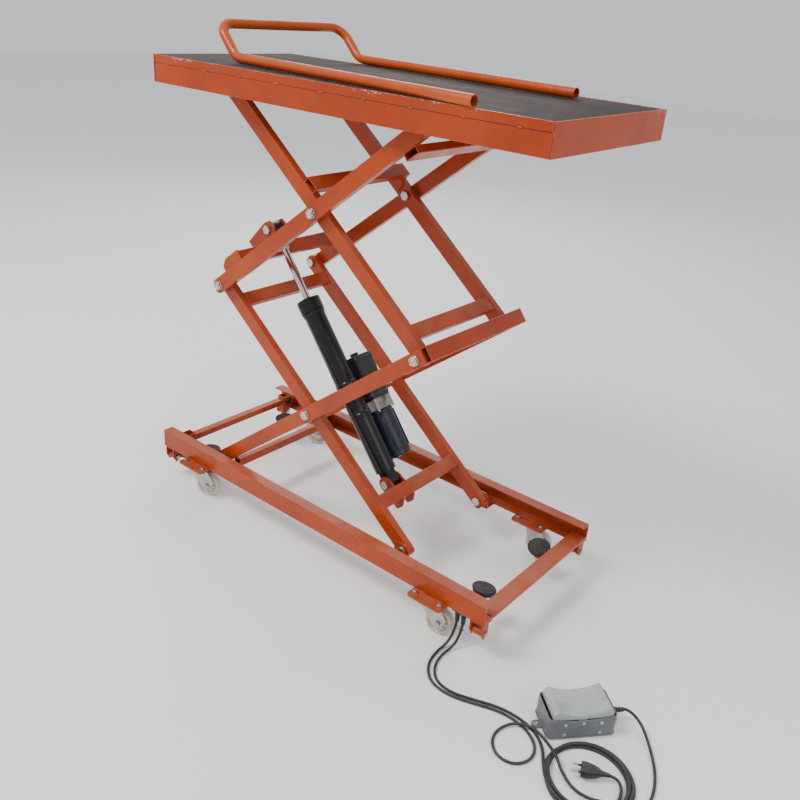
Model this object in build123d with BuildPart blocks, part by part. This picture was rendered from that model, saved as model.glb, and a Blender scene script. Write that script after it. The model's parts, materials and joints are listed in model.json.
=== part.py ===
"""Mobile double-scissor lift table with an electro-hydraulic ram, in millimetres.

Frame: +X along the table towards the fixed hinge end, +Z up, origin on the floor
under the middle of the base frame. The near side is -Y. The table stands raised.
"""
from build123d import *
from math import cos, hypot, radians, sin, tan
import os

os.makedirs("parts", exist_ok=True)

# ---- driving dimensions -------------------------------------------------------
BASE_L, BASE_W = 1235.0, 511.0          # base frame over its rails
RAIL_H, RAIL_FL, RAIL_T = 54.0, 33.0, 4.0
RAIL_Z = 109.0                          # underside of the rails
WHEEL_R, WHEEL_W = 37.5, 25.0
CASTER_X, CASTER_Y, TRAIL = 454.0, 242.0, 24.0
PLATE_L, PLATE_T, PLATE_OUT = 104.0, 5.0, 289.0
BOLT_SX, BOLT_SY = 77.0, 56.0           # caster plate bolt spacing

ARM_HALF = 446.0                        # pivot to centre pin
ARM_H, ARM_T, WALL = 40.0, 20.0, 2.5    # rectangular tube of the arms and ties
LIFT_ANGLE = 38.1                       # arm slope as the table stands
PIVOT_X, PIVOT_Z = 302.5, 136.0         # fixed hinge on the base
OUT_Y, IN_Y = 205.0, 182.0              # outer faces of the outer and inner arm pairs
PIN_R, BOLT_HEAD_R = 8.0, 11.5

PLAT_X0, PLAT_X1, PLAT_W = -594.0, 607.0, 494.0
PLAT_TOP, PLAT_BOTTOM, RIM_H = 1272.0, 1204.0, 20.0
MAT_T, DECK_T, SKIRT_T = 5.0, 3.0, 4.0

ROLLER_R, ROLLER_W, ROLLER_Y = 22.5, 20.0, 236.0
TUBE_OD, TUBE_WALL, HEAD_OD, ROD_D = 60.0, 5.0, 68.0, 22.0
RAM_Y = -55.0                           # plane of the ram
PACK_Y = 20.0                           # axis of the motor, pump and tank beside it

HANDLE_D, HANDLE_GAP, HANDLE_YAW = 25.0, 413.0, -6.0
CABLE_D = 7.0

# ---- worked out ---------------------------------------------------------------
A0 = radians(LIFT_ANGLE)
CA, SA = cos(A0), sin(A0)
HALF_L, HALF_W = BASE_L / 2, BASE_W / 2
MID_X = PIVOT_X - ARM_HALF * CA
FAR_X = PIVOT_X - 2 * ARM_HALF * CA
RISE = 2 * ARM_HALF * SA                # rise of one scissor stage
LEVEL = [PIVOT_Z + n * RISE / 2 for n in range(5)]   # hinge, centre, middle, centre, top
ARM_L = 2 * ARM_HALF


def falling(x, z, y=0.0):
    """Plane at a pivot whose X runs up-left along an inner arm and whose Y is its top side."""
    return Plane(origin=(x, y, z), x_dir=(-CA, 0, SA), z_dir=(0, 1, 0))


def rising(x, z, y=0.0):
    """Plane at a pivot whose X runs up-right along an outer arm and whose Y is its top side."""
    return Plane(origin=(x, y, z), x_dir=(CA, 0, SA), z_dir=(0, -1, 0))


LOWER_INNER = falling(PIVOT_X, LEVEL[0])
LOWER_OUTER = rising(FAR_X, LEVEL[0])
UPPER_OUTER = rising(FAR_X, LEVEL[2])
UPPER_INNER = falling(PIVOT_X, LEVEL[2])
nodes = {}


def keep(name, builder):
    """Label a finished sub-part and write it."""
    builder.part.label = name
    nodes[name] = builder.part
    export_step(builder.part, f"parts/{name}.step")


# ---- base frame ---------------------------------------------------------------
def rail(name, side):
    """C-channel rail, open towards the middle of the table."""
    with BuildPart() as p:
        with BuildSketch(Plane.YZ.offset(-HALF_L)) as s:
            with Locations((side * (HALF_W - RAIL_FL / 2), RAIL_Z + RAIL_H / 2)):
                Rectangle(RAIL_FL, RAIL_H)
            with Locations((side * (HALF_W - RAIL_T - RAIL_FL / 2), RAIL_Z + RAIL_H / 2)):
                Rectangle(RAIL_FL, RAIL_H - 2 * RAIL_T, mode=Mode.SUBTRACT)
            web = s.vertices().filter_by(lambda v: abs(v.Y) > HALF_W - 0.1)
            fillet(web, 3.0)
        extrude(amount=BASE_L)
    keep(name, p)


rail("rail_near", -1)
rail("rail_far", 1)

POST, POST_T, POST_X, POST_H = 32.0, 2.5, -556.0, 50.0
POST_Y = HANDLE_GAP / 2
BEAM_W, BEAM_H, BEAM_TOP = 25.0, 20.0, 151.0

with BuildPart() as cross_beam_left:
    with BuildSketch(Plane.XZ.offset(-(POST_Y - POST / 2))):
        with Locations((POST_X, BEAM_TOP - BEAM_H / 2)):
            RectangleRounded(BEAM_W, BEAM_H, 2.0)
            RectangleRounded(BEAM_W - 2 * WALL, BEAM_H - 2 * WALL, 1.0, mode=Mode.SUBTRACT)
    extrude(amount=2 * (POST_Y - POST / 2))
keep("cross_beam_left", cross_beam_left)

RIGHT_X0, RIGHT_T = 573.0, 9.0
with BuildPart() as cross_beam_right:
    with BuildSketch(Plane.XY.offset(RAIL_Z + RAIL_T)):
        with Locations(((RIGHT_X0 + HALF_L) / 2, 0)):
            Rectangle(HALF_L - RIGHT_X0, 2 * (HALF_W - RAIL_T))
    extrude(amount=RIGHT_T)
    fillet(cross_beam_right.edges().filter_by(Axis.Y).group_by(Axis.Z)[-1], 1.5)
keep("cross_beam_right", cross_beam_right)

with BuildPart() as handle_sockets:
    with BuildSketch(Plane.XY.offset(RAIL_Z)):
        with Locations((POST_X, -POST_Y), (POST_X, POST_Y)):
            RectangleRounded(POST, POST, 3.0)
            RectangleRounded(POST - 2 * POST_T, POST - 2 * POST_T, 1.0, mode=Mode.SUBTRACT)
    extrude(amount=POST_H)
keep("handle_sockets", handle_sockets)

with BuildPart() as caster_plates:
    with BuildSketch(Plane.XY.offset(RAIL_Z - PLATE_T)):
        for side in (-1, 1):
            inner = CASTER_Y - (PLATE_OUT - CASTER_Y)
            with Locations(*[(sx * CASTER_X, side * (PLATE_OUT + inner) / 2) for sx in (-1, 1)]):
                RectangleRounded(PLATE_L, PLATE_OUT - inner, 9.0)
        with Locations(*[(sx * CASTER_X + bx, side * CASTER_Y + by) for sx in (-1, 1)
                         for side in (-1, 1) for bx in (-BOLT_SX / 2, BOLT_SX / 2)
                         for by in (-BOLT_SY / 2, BOLT_SY / 2)]):
            Circle(4.5, mode=Mode.SUBTRACT)
    extrude(amount=PLATE_T)
keep("caster_plates", caster_plates)

# corner brackets that carry the stowed levelling feet
BRK_X, BRK_Y, BRK_W, BRK_D, BRK_H, BRK_T = 594.0, 240.0, 38.0, 28.0, 50.0, 4.0
ARM_Z, FOOT_ARM_T = 76.0, 8.0
with BuildPart() as foot_brackets:
    for sx in (-1, 1):
        for side in (-1, 1):
            with BuildSketch(Plane.YZ.offset(sx * BRK_X - BRK_W / 2)):
                with BuildLine():
                    Polyline((side * (BRK_Y - BRK_D / 2), RAIL_Z), (side * (BRK_Y + BRK_D / 2), RAIL_Z),
                             (side * (BRK_Y + BRK_D / 2), RAIL_Z - BRK_H * 0.62),
                             (side * (BRK_Y + 3), RAIL_Z - BRK_H),
                             (side * (BRK_Y - BRK_D / 2), RAIL_Z - BRK_H * 0.75), close=True)
                make_face()
            extrude(amount=BRK_W)
            with BuildSketch(Plane.YZ.offset(sx * BRK_X - BRK_W / 2 + BRK_T)):
                with Locations((side * BRK_Y, RAIL_Z - BRK_T - BRK_H / 2)):
                    Rectangle(BRK_D + 2, BRK_H)
            extrude(amount=BRK_W - 2 * BRK_T, mode=Mode.SUBTRACT)
            with BuildSketch(Plane.YZ.offset(sx * BRK_X - BRK_W / 2)):
                with Locations((side * BRK_Y, ARM_Z)):
                    Circle(4.2)
            extrude(amount=BRK_W, mode=Mode.SUBTRACT)
keep("foot_brackets", foot_brackets)

# foot arms: flat bars clamped in the brackets, slanting inwards to the stud boss
FOOT_REACH_X, FOOT_REACH_Y = 58.5, 101.0
FOOT_LEFT_REACH_X, FOOT_LEFT_REACH_Y = 88.0, 77.0
FOOT_BOSS_R, STUD_R = 12.0, 6.0


def foot_place(sx, side):
    """Plan position of the stud of the foot at one corner."""
    dx, dy = (FOOT_REACH_X, FOOT_REACH_Y) if sx > 0 else (FOOT_LEFT_REACH_X, FOOT_LEFT_REACH_Y)
    return sx * (BRK_X - dx), side * (BRK_Y - dy)


with BuildPart() as foot_arms:
    for sx in (-1, 1):
        for side in (-1, 1):
            fx, fy = foot_place(sx, side)
            bx, by = sx * BRK_X, side * BRK_Y
            run = hypot(fx - bx, fy - by)
            bar = Plane(origin=(bx, by, ARM_Z - FOOT_ARM_T / 2), x_dir=(fx - bx, fy - by, 0),
                        z_dir=(0, 0, 1))
            with BuildSketch(bar):
                with Locations((run / 2 + 4, 0)):
                    Rectangle(run - 8, 16)
                with Locations((run, 0)):
                    Circle(FOOT_BOSS_R)
                with Locations((run, 0)):
                    Circle(STUD_R + 0.1, mode=Mode.SUBTRACT)
            extrude(amount=FOOT_ARM_T)
            with BuildSketch(Plane.YZ.offset(bx - BRK_W / 2 + BRK_T)):
                with Locations((by, ARM_Z)):
                    Circle(10)
            extrude(amount=BRK_W - 2 * BRK_T)
            with BuildSketch(Plane.YZ.offset(bx - BRK_W / 2 - 6)):
                with Locations((by, ARM_Z)):
                    Circle(4.2)
            extrude(amount=BRK_W + 12, mode=Mode.SUBTRACT)
            for x0 in (bx - BRK_W / 2 - 6, bx + BRK_W / 2):     # room for the head and the nut
                with BuildSketch(Plane.YZ.offset(x0)):
                    with Locations((by, ARM_Z)):
                        Circle(8.6)
                extrude(amount=6, mode=Mode.SUBTRACT)
    add(foot_brackets.part, mode=Mode.SUBTRACT)
keep("foot_arms", foot_arms)

HINGE_T, HINGE_L = 6.0, 48.0
HINGE_Y = IN_Y + 1.5
with BuildPart() as hinge_brackets:
    for side in (-1, 1):
        with BuildSketch(Plane.XZ.offset(-side * HINGE_Y)):
            with BuildLine():
                Polyline((PIVOT_X - HINGE_L / 2, RAIL_Z), (PIVOT_X + HINGE_L / 2, RAIL_Z),
                         (PIVOT_X + HINGE_L / 2, PIVOT_Z + 8), (PIVOT_X + 12, PIVOT_Z + 22),
                         (PIVOT_X - 12, PIVOT_Z + 22), (PIVOT_X - HINGE_L / 2, PIVOT_Z + 8), close=True)
            make_face()
            with Locations((PIVOT_X, PIVOT_Z)):
                Circle(PIN_R, mode=Mode.SUBTRACT)
        extrude(amount=-side * HINGE_T)
        inner_y, outer_y = HINGE_Y + HINGE_T, HALF_W - RAIL_FL
        with BuildSketch(Plane.XY.offset(RAIL_Z)):
            with Locations((PIVOT_X, side * (inner_y + outer_y) / 2)):
                Rectangle(HINGE_L, outer_y - inner_y)
        extrude(amount=HINGE_T)
keep("hinge_brackets", hinge_brackets)

# ---- casters ------------------------------------------------------------------
YAW = {"near_right": 15.0, "near_left": 27.0, "far_right": 20.0, "far_left": 38.0}
CORNER = {"near_right": (1, -1), "near_left": (-1, -1), "far_right": (1, 1), "far_left": (-1, 1)}
TOP_PLATE_T = 2.5
CROWN_Z1 = RAIL_Z - PLATE_T - TOP_PLATE_T - 0.4
CROWN_Z0 = CROWN_Z1 - 9.0
FORK_IN, FORK_T = WHEEL_W / 2 + 1.0, 3.0
KING_R, AXLE_R = 6.0, 4.0

with BuildPart() as caster_top_plates:
    with BuildSketch(Plane.XY.offset(RAIL_Z - PLATE_T - TOP_PLATE_T)):
        with Locations(*[(sx * CASTER_X, side * CASTER_Y) for sx, side in CORNER.values()]):
            RectangleRounded(96, 76, 7)
            with GridLocations(BOLT_SX, BOLT_SY, 2, 2):
                Circle(4.5, mode=Mode.SUBTRACT)
    extrude(amount=TOP_PLATE_T)
    with BuildSketch(Plane.XY.offset(CROWN_Z0 - 6.5)):
        with Locations(*[(sx * CASTER_X, side * CASTER_Y) for sx, side in CORNER.values()]):
            Circle(KING_R)
    extrude(amount=RAIL_Z - PLATE_T - TOP_PLATE_T - CROWN_Z0 + 6.5)
keep("caster_top_plates", caster_top_plates)


def caster(corner):
    """Swivel fork with its axle bolt, and the wheel, at one corner."""
    sx, side = CORNER[corner]
    yaw = radians(YAW[corner])
    ahead = Vector(cos(yaw), sin(yaw), 0)
    top = Vector(sx * CASTER_X, side * CASTER_Y, 0)
    hub = top + ahead * TRAIL + Vector(0, 0, WHEEL_R)
    across = Vector(-sin(yaw), cos(yaw), 0)
    # sketch plane through the fork's middle: X ahead, Y up
    upright = Plane(origin=(top.X, top.Y, 0), x_dir=ahead, z_dir=-across)
    with BuildPart() as fork:
        with BuildSketch(upright):
            with BuildLine():
                Polyline((-19, CROWN_Z1 - 6), (19, CROWN_Z1 - 6), (30, 78), (TRAIL + 22, 52),
                         (TRAIL + 12, WHEEL_R - 10), (TRAIL - 8, WHEEL_R - 12), (-12, 62), close=True)
            make_face()
            fillet(vertices().filter_by(lambda v: v.Z < 82), 7)
        extrude(amount=FORK_IN + FORK_T, both=True)
        with BuildSketch(Plane(origin=(top.X, top.Y, 0), x_dir=ahead, z_dir=-across)):
            with Locations((0, CROWN_Z0 / 2 - 4)):
                Rectangle(240, CROWN_Z0)
        extrude(amount=FORK_IN, both=True, mode=Mode.SUBTRACT)
        with BuildSketch(Plane.XY.offset(CROWN_Z0 + 1)):
            with Locations((top.X, top.Y)):
                Circle(22)
        extrude(amount=CROWN_Z1 - CROWN_Z0 - 1)
        with BuildSketch(Plane.XY.offset(CROWN_Z0 - 12)):
            with Locations((top.X, top.Y)):
                Circle(KING_R + 0.08)
        extrude(amount=40, mode=Mode.SUBTRACT)
        # axle bolt, head and nut
        axle = Plane(origin=tuple(hub - across * (FORK_IN + FORK_T + 6)), z_dir=across)
        with BuildSketch(axle):
            RegularPolygon(7.5, 6)
        extrude(amount=6)
        with BuildSketch(axle.offset(6)):
            Circle(AXLE_R)
        extrude(amount=2 * (FORK_IN + FORK_T))
        with BuildSketch(axle.offset(6 + 2 * (FORK_IN + FORK_T))):
            RegularPolygon(7.5, 6)
        extrude(amount=6)
    keep("caster_fork_" + corner, fork)
    with BuildPart() as wheel:
        with BuildSketch(Plane(origin=tuple(hub), x_dir=tuple(across), z_dir=tuple(ahead))) as s:
            with BuildLine():
                Polyline((-WHEEL_W / 2, 8), (-WHEEL_W / 2, 14), (-WHEEL_W / 2 + 6, 18),
                         (-WHEEL_W / 2 + 6, 25), (-WHEEL_W / 2 + 1, 28), (-WHEEL_W / 2 + 1, WHEEL_R - 4),
                         (-WHEEL_W / 2 + 5, WHEEL_R), (WHEEL_W / 2 - 5, WHEEL_R),
                         (WHEEL_W / 2 - 1, WHEEL_R - 4), (WHEEL_W / 2 - 1, 28), (WHEEL_W / 2 - 6, 25),
                         (WHEEL_W / 2 - 6, 18), (WHEEL_W / 2, 14), (WHEEL_W / 2, 8),
                         (WHEEL_W / 2, AXLE_R + 0.08), (-WHEEL_W / 2, AXLE_R + 0.08), close=True)
            make_face()
        revolve(axis=Axis(tuple(hub), tuple(across)))
    keep("caster_wheel_" + corner, wheel)


for corner_name in CORNER:
    caster(corner_name)

# ---- stowed levelling feet: rubber pad up, stud screwed down into its arm -------
PAD_R, PAD_H = 32.0, 22.0
FOOT = {  # pad face height, tilt of the pad about X
    "near_right": (119.0, 11.0), "far_right": (111.0, 16.0),
    "near_left": (108.0, 3.0), "far_left": (108.0, 3.0)}


def foot(corner):
    """Levelling foot: pad of two tiers on a ball-ended stud with a lock nut."""
    sx, side = CORNER[corner]
    fx, fy = foot_place(sx, side)
    face_z, tilt = FOOT[corner]
    lean = radians(tilt)
    ball = Vector(fx, fy, face_z - PAD_H + 4)
    up = Vector(0.04 * sx, -side * sin(lean), cos(lean))
    with BuildPart() as p:
        with BuildSketch(Plane.XY.offset(ARM_Z - 24)):
            with Locations((fx, fy)):
                Circle(STUD_R)
        extrude(amount=ball.Z - ARM_Z + 24)
        with BuildSketch(Plane.XY.offset(ARM_Z + FOOT_ARM_T / 2 + 0.4)):
            with Locations((fx, fy)):
                RegularPolygon(10.5, 6)
        extrude(amount=6)
        pad = Plane(origin=tuple(ball), z_dir=tuple(up))
        with BuildSketch(Plane(origin=pad.origin, x_dir=pad.x_dir, z_dir=-pad.y_dir)):
            with BuildLine():
                Polyline((0, -3), (PAD_R * 0.62, -3), (PAD_R * 0.9, 3), (PAD_R * 0.9, PAD_H * 0.42),
                         (PAD_R, PAD_H * 0.52), (PAD_R, PAD_H - 7), (PAD_R - 3, PAD_H - 4),
                         (0, PAD_H - 4), close=True)
            make_face()
        revolve(axis=Axis(tuple(ball), tuple(up)))
    keep("levelling_foot_" + corner, p)


for corner_name in CORNER:
    foot(corner_name)


# ---- scissor arms -------------------------------------------------------------
def arm_pair(name, plane, outer_y, start, end, round_end):
    """Two equal tubular arms: pivots at 0, the middle and the full length."""
    with BuildPart() as p:
        with BuildSketch(plane):
            with Locations(((end - start) / 2 + start, 0)):
                Rectangle(end - start, ARM_H)
            fillet(vertices().sort_by(Axis.X)[:2], 14 if "low" in round_end else 3)
            fillet(vertices().sort_by(Axis.X)[-2:], 14 if "high" in round_end else 3)
            with Locations((0, 0), (ARM_HALF, 0), (ARM_L, 0)):
                Circle(PIN_R + 0.05, mode=Mode.SUBTRACT)
        extrude(amount=outer_y, both=True)
        with BuildSketch(plane):
            Rectangle(4 * ARM_L, 4 * ARM_H)
        extrude(amount=outer_y - ARM_T, both=True, mode=Mode.SUBTRACT)
        for side in (-1, 1):   # the hollow of the tube, between the pivot bushes
            with BuildSketch(plane.offset(side * (outer_y - ARM_T + WALL))):
                with Locations((ARM_HALF * 0.5, 0), (ARM_HALF * 1.5, 0)):
                    Rectangle(ARM_HALF - 70, ARM_H - 2 * WALL)
            extrude(amount=side * (ARM_T - 2 * WALL), mode=Mode.SUBTRACT)
    keep(name, p)


arm_pair("lower_outer_arms", LOWER_OUTER, OUT_Y, -24, ARM_L + 31, "low")
arm_pair("lower_inner_arms", LOWER_INNER, IN_Y, -22, ARM_L + 20, "low high")
arm_pair("upper_outer_arms", UPPER_OUTER, OUT_Y, -20, ARM_L + 20, "low high")
arm_pair("upper_inner_arms", UPPER_INNER, IN_Y, -20, ARM_L + 24, "low high")


LOW_TIE, LOW_TIE_Y = 25.0, 191.0


def tie(plane, along, height, half_y, upright=False, wall=WALL):
    """Tube tie across an arm pair, flat along the arm or standing upright on it."""
    size = (ARM_T, ARM_H) if upright else (ARM_H, ARM_T)
    with BuildSketch(plane, mode=Mode.PRIVATE) as section:
        with Locations((along, height)):
            RectangleRounded(*size, 2.5)
            RectangleRounded(size[0] - 2 * wall, size[1] - 2 * wall, 1.0, mode=Mode.SUBTRACT)
    extrude(section.sketch, amount=half_y, both=True)


with BuildPart() as lower_inner_ties:
    tie(LOWER_INNER, 136, 10, IN_Y - ARM_T)
    tie(LOWER_INNER, 822, 10, IN_Y - ARM_T)
keep("lower_inner_ties", lower_inner_ties)

with BuildPart() as lower_outer_ties:
    tie(LOWER_OUTER, ARM_L + 31 + ARM_T / 2, 0, OUT_Y, upright=True)
    with BuildSketch(LOWER_OUTER):      # square tie that hangs level under the arms' low end
        with Locations((44, -34)):
            RectangleRounded(LOW_TIE, LOW_TIE, 2.0, rotation=-LIFT_ANGLE)
            RectangleRounded(LOW_TIE - 2 * WALL, LOW_TIE - 2 * WALL, 1.0, rotation=-LIFT_ANGLE,
                             mode=Mode.SUBTRACT)
        with Locations((44, 0)):
            Rectangle(4 * LOW_TIE, ARM_H, mode=Mode.SUBTRACT)
    extrude(amount=LOW_TIE_Y, both=True)
keep("lower_outer_ties", lower_outer_ties)

with BuildPart() as upper_inner_ties:
    tie(UPPER_INNER, 62, 10, IN_Y - ARM_T)
    tie(UPPER_INNER, 506, ARM_H / 2 + ARM_T / 2, IN_Y)
    for side in (-1, 1):       # small corner gussets behind the upper tie
        with BuildSketch(UPPER_INNER.offset(side * (IN_Y - ARM_T - 4))):
            with BuildLine():
                Polyline((472, -14), (540, -14), (540, ARM_H / 2), (472, ARM_H / 2), close=True)
            make_face()
            fillet(vertices(), 8)
        extrude(amount=side * 4)
keep("upper_inner_ties", upper_inner_ties)

CLEVIS_TIE, CLEVIS_TIE_H = 105.0, 32.0
with BuildPart() as upper_outer_ties:
    tie(UPPER_OUTER, CLEVIS_TIE, CLEVIS_TIE_H, OUT_Y - ARM_T, upright=True)
    tie(UPPER_OUTER, 795, -ARM_H / 2 - ARM_T / 2, OUT_Y)
    for side in (-1, 1):       # gussets that stand on the arms beside the ram tie
        with BuildSketch(UPPER_OUTER.offset(side * (OUT_Y - ARM_T))):
            with BuildLine():
                Polyline((34, ARM_H / 2), (34, 40), (56, 54), (118, 54), (118, ARM_H / 2), close=True)
            make_face()
            fillet(vertices().group_by(Axis.Z)[-1], 6)
        extrude(amount=side * 5)
keep("upper_outer_ties", upper_outer_ties)

# ---- ram brackets -------------------------------------------------------------
RAM_LOW = (177.0, -25.0)      # lower pin on the lower inner arms: along, above
RAM_HIGH = (145.0, 82.0)      # upper pin on the upper outer arms: along, above
EAR_GAP, EAR_T = 40.0, 6.0


def local_point(plane, along, height, y=0.0):
    """Point of a scissor plane at a given depth, in table coordinates."""
    p = plane.from_local_coords(Vector(along, height, 0))
    return Vector(p.X, y, p.Z)


ram_low = local_point(LOWER_INNER, *RAM_LOW, RAM_Y)
ram_high = local_point(UPPER_OUTER, *RAM_HIGH, RAM_Y)
ram_dir = (ram_high - ram_low).normalized()
ram_len = (ram_high - ram_low).length

with BuildPart() as ram_bracket_lower:
    for s in (-1, 1):
        with BuildSketch(falling(PIVOT_X, LEVEL[0], RAM_Y + s * EAR_GAP / 2)):
            with BuildLine():
                Polyline((RAM_LOW[0] + 4, RAM_LOW[1] + 21), (158, 0), (112, 0), (100, -18),
                         (104, -40), (RAM_LOW[0], RAM_LOW[1] - 21), close=True)
            make_face()
            with Locations(RAM_LOW):
                Circle(22)
                Circle(PIN_R + 0.05, mode=Mode.SUBTRACT)
        extrude(amount=s * EAR_T)
    with BuildSketch(falling(PIVOT_X, LEVEL[0], RAM_Y)):
        with Locations((118, -20)):
            Rectangle(EAR_T, 38)
    extrude(amount=EAR_GAP / 2, both=True)
keep("ram_bracket_lower", ram_bracket_lower)

with BuildPart() as ram_bracket_upper:
    for s in (-1, 1):
        with BuildSketch(rising(FAR_X, LEVEL[2], RAM_Y + s * EAR_GAP / 2)):
            with BuildLine():
                Polyline((58, 52), (52, 90), (142, 104), (163, 100), (172, 78), (160, 56), (115, 30),
                         (115, 52), close=True)
            make_face()
            with Locations(RAM_HIGH):
                Circle(PIN_R + 0.05, mode=Mode.SUBTRACT)
        extrude(amount=-s * EAR_T)
    with BuildSketch(rising(FAR_X, LEVEL[2], RAM_Y)):
        with Locations((62, 72)):
            Rectangle(EAR_T, 34)
    extrude(amount=EAR_GAP / 2, both=True)
keep("ram_bracket_upper", ram_bracket_upper)

# ---- ram ----------------------------------------------------------------------
EYE_W, EYE_R = 36.0, 19.0
TUBE_Z0, HEAD_Z0, HEAD_Z1 = 34.0, 522.0, 562.0     # along the ram from its lower pin
ram = Plane(origin=ram_low, x_dir=(0, 1, 0), z_dir=ram_dir)


def eye(centre, reach):
    """Eye lug of the ram: a ring round a pin that runs along Y, and its shank."""
    flat = Plane(origin=tuple(centre), x_dir=tuple(ram_dir), z_dir=(0, 1, 0))
    with BuildSketch(flat, mode=Mode.PRIVATE) as lug:
        Circle(EYE_R)
        with Locations((reach / 2, 0)):
            Rectangle(abs(reach), 2 * EYE_R - 8)
        Circle(PIN_R + 0.05, mode=Mode.SUBTRACT)
    extrude(lug.sketch, amount=EYE_W / 2, both=True)


with BuildPart() as cylinder_tube:
    with BuildSketch(ram.offset(TUBE_Z0)):
        Circle(TUBE_OD / 2)
    extrude(amount=HEAD_Z0 - TUBE_Z0)
    with BuildSketch(ram.offset(HEAD_Z0)):
        Circle(HEAD_OD / 2)
    extrude(amount=HEAD_Z1 - HEAD_Z0)
    chamfer(cylinder_tube.edges().filter_by(GeomType.CIRCLE).sort_by(SortBy.RADIUS)[-2:], 2.5)
    eye(ram_low, TUBE_Z0)
    with BuildSketch(ram.offset(TUBE_Z0 + 12)):
        Circle(TUBE_OD / 2 - TUBE_WALL)
    extrude(amount=HEAD_Z0 - TUBE_Z0 - 12, mode=Mode.SUBTRACT)
    with BuildSketch(ram.offset(HEAD_Z0 - 1)):
        Circle(ROD_D / 2 + 0.1)
    extrude(amount=HEAD_Z1 - HEAD_Z0 + 2, mode=Mode.SUBTRACT)
keep("cylinder_tube", cylinder_tube)

PISTON_Z, PISTON_H = 330.0, 30.0
with BuildPart() as piston_rod:
    with BuildSketch(ram.offset(PISTON_Z)):
        Circle(ROD_D / 2)
    extrude(amount=ram_len - EYE_R + 4 - PISTON_Z)
    with BuildSketch(ram.offset(PISTON_Z)):
        Circle(TUBE_OD / 2 - TUBE_WALL - 0.4)
    extrude(amount=PISTON_H)
keep("piston_rod", piston_rod)

with BuildPart() as rod_eye:
    eye(ram_high, -(EYE_R + 22))
    with BuildSketch(ram.offset(ram_len - EYE_R - 24)):
        Circle(ROD_D / 2)
    extrude(amount=EYE_R + 20, mode=Mode.SUBTRACT)
    with BuildSketch(Plane(origin=tuple(ram_high), x_dir=tuple(ram_dir), z_dir=(0, 1, 0))):
        Circle(EYE_R)
        Circle(PIN_R + 0.05, mode=Mode.SUBTRACT)
    extrude(amount=EYE_W / 2, both=True)
    with BuildSketch(ram.offset(ram_len - EYE_R + 4)):
        Circle(ROD_D / 2 + 0.02)
    extrude(amount=-60, mode=Mode.SUBTRACT)
keep("rod_eye", rod_eye)

# power pack beside the cylinder: motor below, pump block, tank above
pack = Plane(origin=ram_low + Vector(0, PACK_Y - RAM_Y, 0), x_dir=(0, 1, 0), z_dir=ram_dir)
MOTOR_Z0, MOTOR_Z1, BLOCK_Z1, TANK_Z1 = 54.0, 197.0, 230.0, 364.0
with BuildPart() as motor:
    with BuildSketch(pack.offset(MOTOR_Z0 + 6)):
        Circle(36)
    extrude(amount=MOTOR_Z1 - MOTOR_Z0 - 6)
    with BuildSketch(pack.offset(MOTOR_Z0)):
        Circle(33)
    extrude(amount=6)
    with BuildSketch(pack.offset(MOTOR_Z0 + 16)):
        Circle(36, mode=Mode.ADD)
        Circle(35, mode=Mode.SUBTRACT)
    extrude(amount=2, mode=Mode.SUBTRACT)
keep("motor", motor)

with BuildPart() as pump_block:
    with BuildSketch(pack.offset(MOTOR_Z1)):
        RectangleRounded(68, 68, 5)
    extrude(amount=BLOCK_Z1 - MOTOR_Z1)
    # foot of the block, clamped against the cylinder tube
    with BuildSketch(pack.offset(MOTOR_Z1 + 2)):
        with Locations((-42, 0)):
            Rectangle(20, 34)
    extrude(amount=BLOCK_Z1 - MOTOR_Z1 - 4)
    with BuildSketch(ram.offset(MOTOR_Z1)):
        Circle(TUBE_OD / 2)
    extrude(amount=BLOCK_Z1 - MOTOR_Z1, mode=Mode.SUBTRACT)
keep("pump_block", pump_block)

with BuildPart() as oil_tank:
    with BuildSketch(pack.offset(BLOCK_Z1)):
        RectangleRounded(72, 72, 11)
    extrude(amount=TANK_Z1 - BLOCK_Z1)
    fillet(oil_tank.edges().sort_by(lambda e: (e.center() - ram_low).dot(ram_dir))[-4:], 3)
keep("oil_tank", oil_tank)

PIPE_R = 3.0
with BuildPart() as hydraulic_pipe:
    with BuildLine() as pipe_line:
        FilletPolyline(
            pack.from_local_coords(Vector(-16, 34, MOTOR_Z1 + 10)),
            pack.from_local_coords(Vector(-16, 46, MOTOR_Z1 + 10)),
            pack.from_local_coords(Vector(-40, 46, MOTOR_Z1 - 4)),
            pack.from_local_coords(Vector(-40, 46, 76)),
            pack.from_local_coords(Vector(-61, 26, 66)),
            radius=9)
    with BuildSketch(Plane(origin=pipe_line.line @ 0, z_dir=pipe_line.line % 0)):
        Circle(PIPE_R)
    sweep()
    with BuildSketch(ram.offset(TUBE_Z0)):
        Circle(TUBE_OD / 2)
    extrude(amount=120, mode=Mode.SUBTRACT)
    with BuildSketch(pack.offset(MOTOR_Z1)):
        RectangleRounded(68, 68, 5)
    extrude(amount=60, mode=Mode.SUBTRACT)
keep("hydraulic_pipe", hydraulic_pipe)


# ---- pins and bolts -----------------------------------------------------------
def bolt(x, z, y0, y1, head=True, nut=True, r=PIN_R):
    """Pin along Y from depth y0 to y1 with a domed hex head before y0 and a nut after y1."""
    s = 1 if y1 > y0 else -1
    reach = abs(y1 - y0)
    across = Plane(origin=(x, y0, z), x_dir=(1, 0, 0), z_dir=(0, s, 0))
    with BuildSketch(across, mode=Mode.PRIVATE) as shank:
        Circle(r)
    extrude(shank.sketch, amount=reach)
    with BuildSketch(across, mode=Mode.PRIVATE) as hexagon:
        RegularPolygon(BOLT_HEAD_R + 1.5, 6)
    if head:
        extrude(hexagon.sketch, amount=-7)
    if nut:
        extrude(hexagon.sketch.moved(Location((0, s * reach, 0))), amount=7)


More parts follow.
